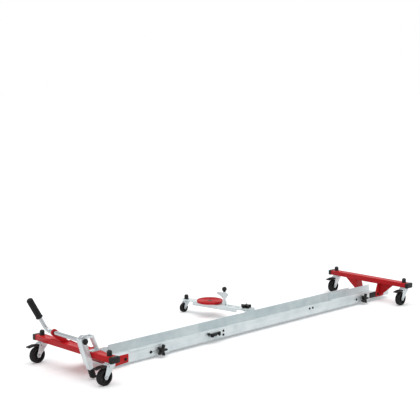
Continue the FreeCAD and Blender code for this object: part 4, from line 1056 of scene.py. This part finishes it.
class DOLLY_OT_side_arm(bpy.types.Operator):
    """The swing arm with its turntable, pressed lock lever and pivot"""
    bl_idname = "dolly.side_arm"
    bl_label = "Swing Arm"

    RIDGE_SHARES = (0.4, 0.58, 0.76)
    # The lever's widths follow its eye's radius, and its heights its own height
    WIDTH_SHARES = {"waist": 0.9, "flare": 3.6, "front": 6, "shoulder": 1.3, "neck": 0.7, "back": 3}
    HEIGHT_SHARES = {"waist": 0.34, "flare": 0.6, "wing": 0.74, "shoulder": 0.88}
    BOSS_SHARE = 1.25
    COLLAR_SHARE = 0.55
    COLLAR_REACH_SHARE = 1.1
    COLLAR_ANGLE = -56

    def execute(self, context):
        dressed("arm_bracket", "zinc_steel", sizes().tube_edge)
        dressed("arm_pivot_bolt", "bright_steel", sizes().sheet_edge)
        dressed("side_arm", "zinc_steel", sizes().sheet_edge)
        dressed("turntable_disc", "red_paint", sizes().tube_edge)
        dressed("turntable_screw", "black_steel", sizes().sheet_edge)
        self.ridges()
        self.lever()
        self.ball()
        return {"FINISHED"}

    def ridges(self):
        """Round ridges on the turntable's face that keep a stand's foot from sliding."""
        pivot = pivot_of("turntable_turn")
        points = measured("turntable_disc", pivot, Z)
        radius = reach_of(points)
        face = max(along for along, around in points if around < radius * self.RIDGE_SHARES[0])
        work, bead = bmesh.new(), sizes().sheet_edge * 2
        for share in self.RIDGE_SHARES:
            ring = arc((radius * share, face), bead, 0, 360, steps=16)[:-1]
            turned(work, ring, Matrix.Translation(pivot), closed=True)
        finished(mesh_from(work, "turntable_ridges"), body_of("turntable_disc"), "red_paint")

    def lever(self):
        """A broad pressed plate that leans over the turntable, on an eye with a cross pin."""
        node = "arm_lock_lever"
        pivot, across = pivot_of("arm_lever_tilt"), axis_of("arm_lever_tilt")
        out = Z.cross(across)
        place = Matrix.Translation(pivot) @ Matrix((out, Z, across)).transposed().to_4x4()
        points = measured(node, pivot, across)
        pin_half = max(points)[0]
        pin = min(around for along, around in points if along > pin_half - MERGE and around > MM)
        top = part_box("arm_ball_knob")[0].z - pivot.z
        eye = pivot.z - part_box(node)[0].z
        wide = {label: share * eye for label, share in self.WIDTH_SHARES.items()}
        tall = {label: share * top for label, share in self.HEIGHT_SHARES.items()}
        end = top + eye / 4
        outline = [
            *arc((0, 0), eye, 180, 360), (wide["waist"], tall["waist"]), (wide["flare"], tall["flare"]),
            *arc((wide["front"] - eye, tall["wing"]), eye, -30, 90), (wide["shoulder"], tall["shoulder"]),
            (wide["neck"], end), (-wide["neck"], end), (-eye, tall["shoulder"]),
            *arc((eye - wide["back"], tall["wing"]), eye, 90, 210), (-wide["waist"], tall["waist"])]
        work = bmesh.new()
        thick, turn = sizes().lever_sheet, facing(pivot, across)
        stacked(work, place, [(-thick / 2, outline), (thick / 2, outline)])
        boss = thick * self.BOSS_SHARE
        bar(work, eye, -boss, boss, turn)
        bar(work, pin, -pin_half, pin_half, turn)
        stands_for(node, work, "zinc_steel", sizes().sheet_edge)

    def ball(self):
        """A moulded ball with a short collar under it."""
        node = "arm_ball_knob"
        low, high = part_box(node)
        radius = (high.x - low.x) / 2
        centre = middle((low, high))
        centre.z = high.z - radius
        collar, foot = radius * self.COLLAR_SHARE, -radius * self.COLLAR_REACH_SHARE
        round_side = arc((0, 0), radius, self.COLLAR_ANGLE, 90, steps=24)[:-1]
        work = bmesh.new()
        turned(work, [(0, foot), (collar, foot), *round_side, (0, radius)], Matrix.Translation(centre))
        stands_for(node, work, "black_plastic")


OPERATORS = (
    DOLLY_OT_stage,
    DOLLY_OT_channel,
    DOLLY_OT_beams,
    DOLLY_OT_bolts,
    DOLLY_OT_welds,
    DOLLY_OT_wheels,
    DOLLY_OT_castors,
    DOLLY_OT_pedals,
    DOLLY_OT_star_knobs,
    DOLLY_OT_floor_lock,
    DOLLY_OT_side_arm,
)


class DOLLY_PT_panel(bpy.types.Panel):
    """Lists the dolly's pieces, sizes and finishes"""
    bl_idname = "DOLLY_PT_panel"
    bl_label = "Mover Dolly"
    bl_space_type = "VIEW_3D"
    bl_region_type = "UI"
    bl_category = "Dolly"

    def draw(self, context):
        for operator in OPERATORS:
            self.layout.operator(operator.bl_idname)
        for group in (sizes(), colours()):
            for name in group.__annotations__:
                self.layout.prop(group, name)


CLASSES = (DollyFinish, DollySizes, *OPERATORS, DOLLY_PT_panel)


def register():
    for kind in CLASSES:
        bpy.utils.register_class(kind)
    bpy.types.Scene.dolly_finish = bpy.props.PointerProperty(type=DollyFinish)
    bpy.types.Scene.dolly_sizes = bpy.props.PointerProperty(type=DollySizes)


def unregister():
    del bpy.types.Scene.dolly_sizes
    del bpy.types.Scene.dolly_finish
    for kind in reversed(CLASSES):
        bpy.utils.unregister_class(kind)


def main():
    register()
    for operator in OPERATORS:
        group, name = operator.bl_idname.split(".")
        getattr(getattr(bpy.ops, group), name)()


if __name__ == "__main__":
    main()
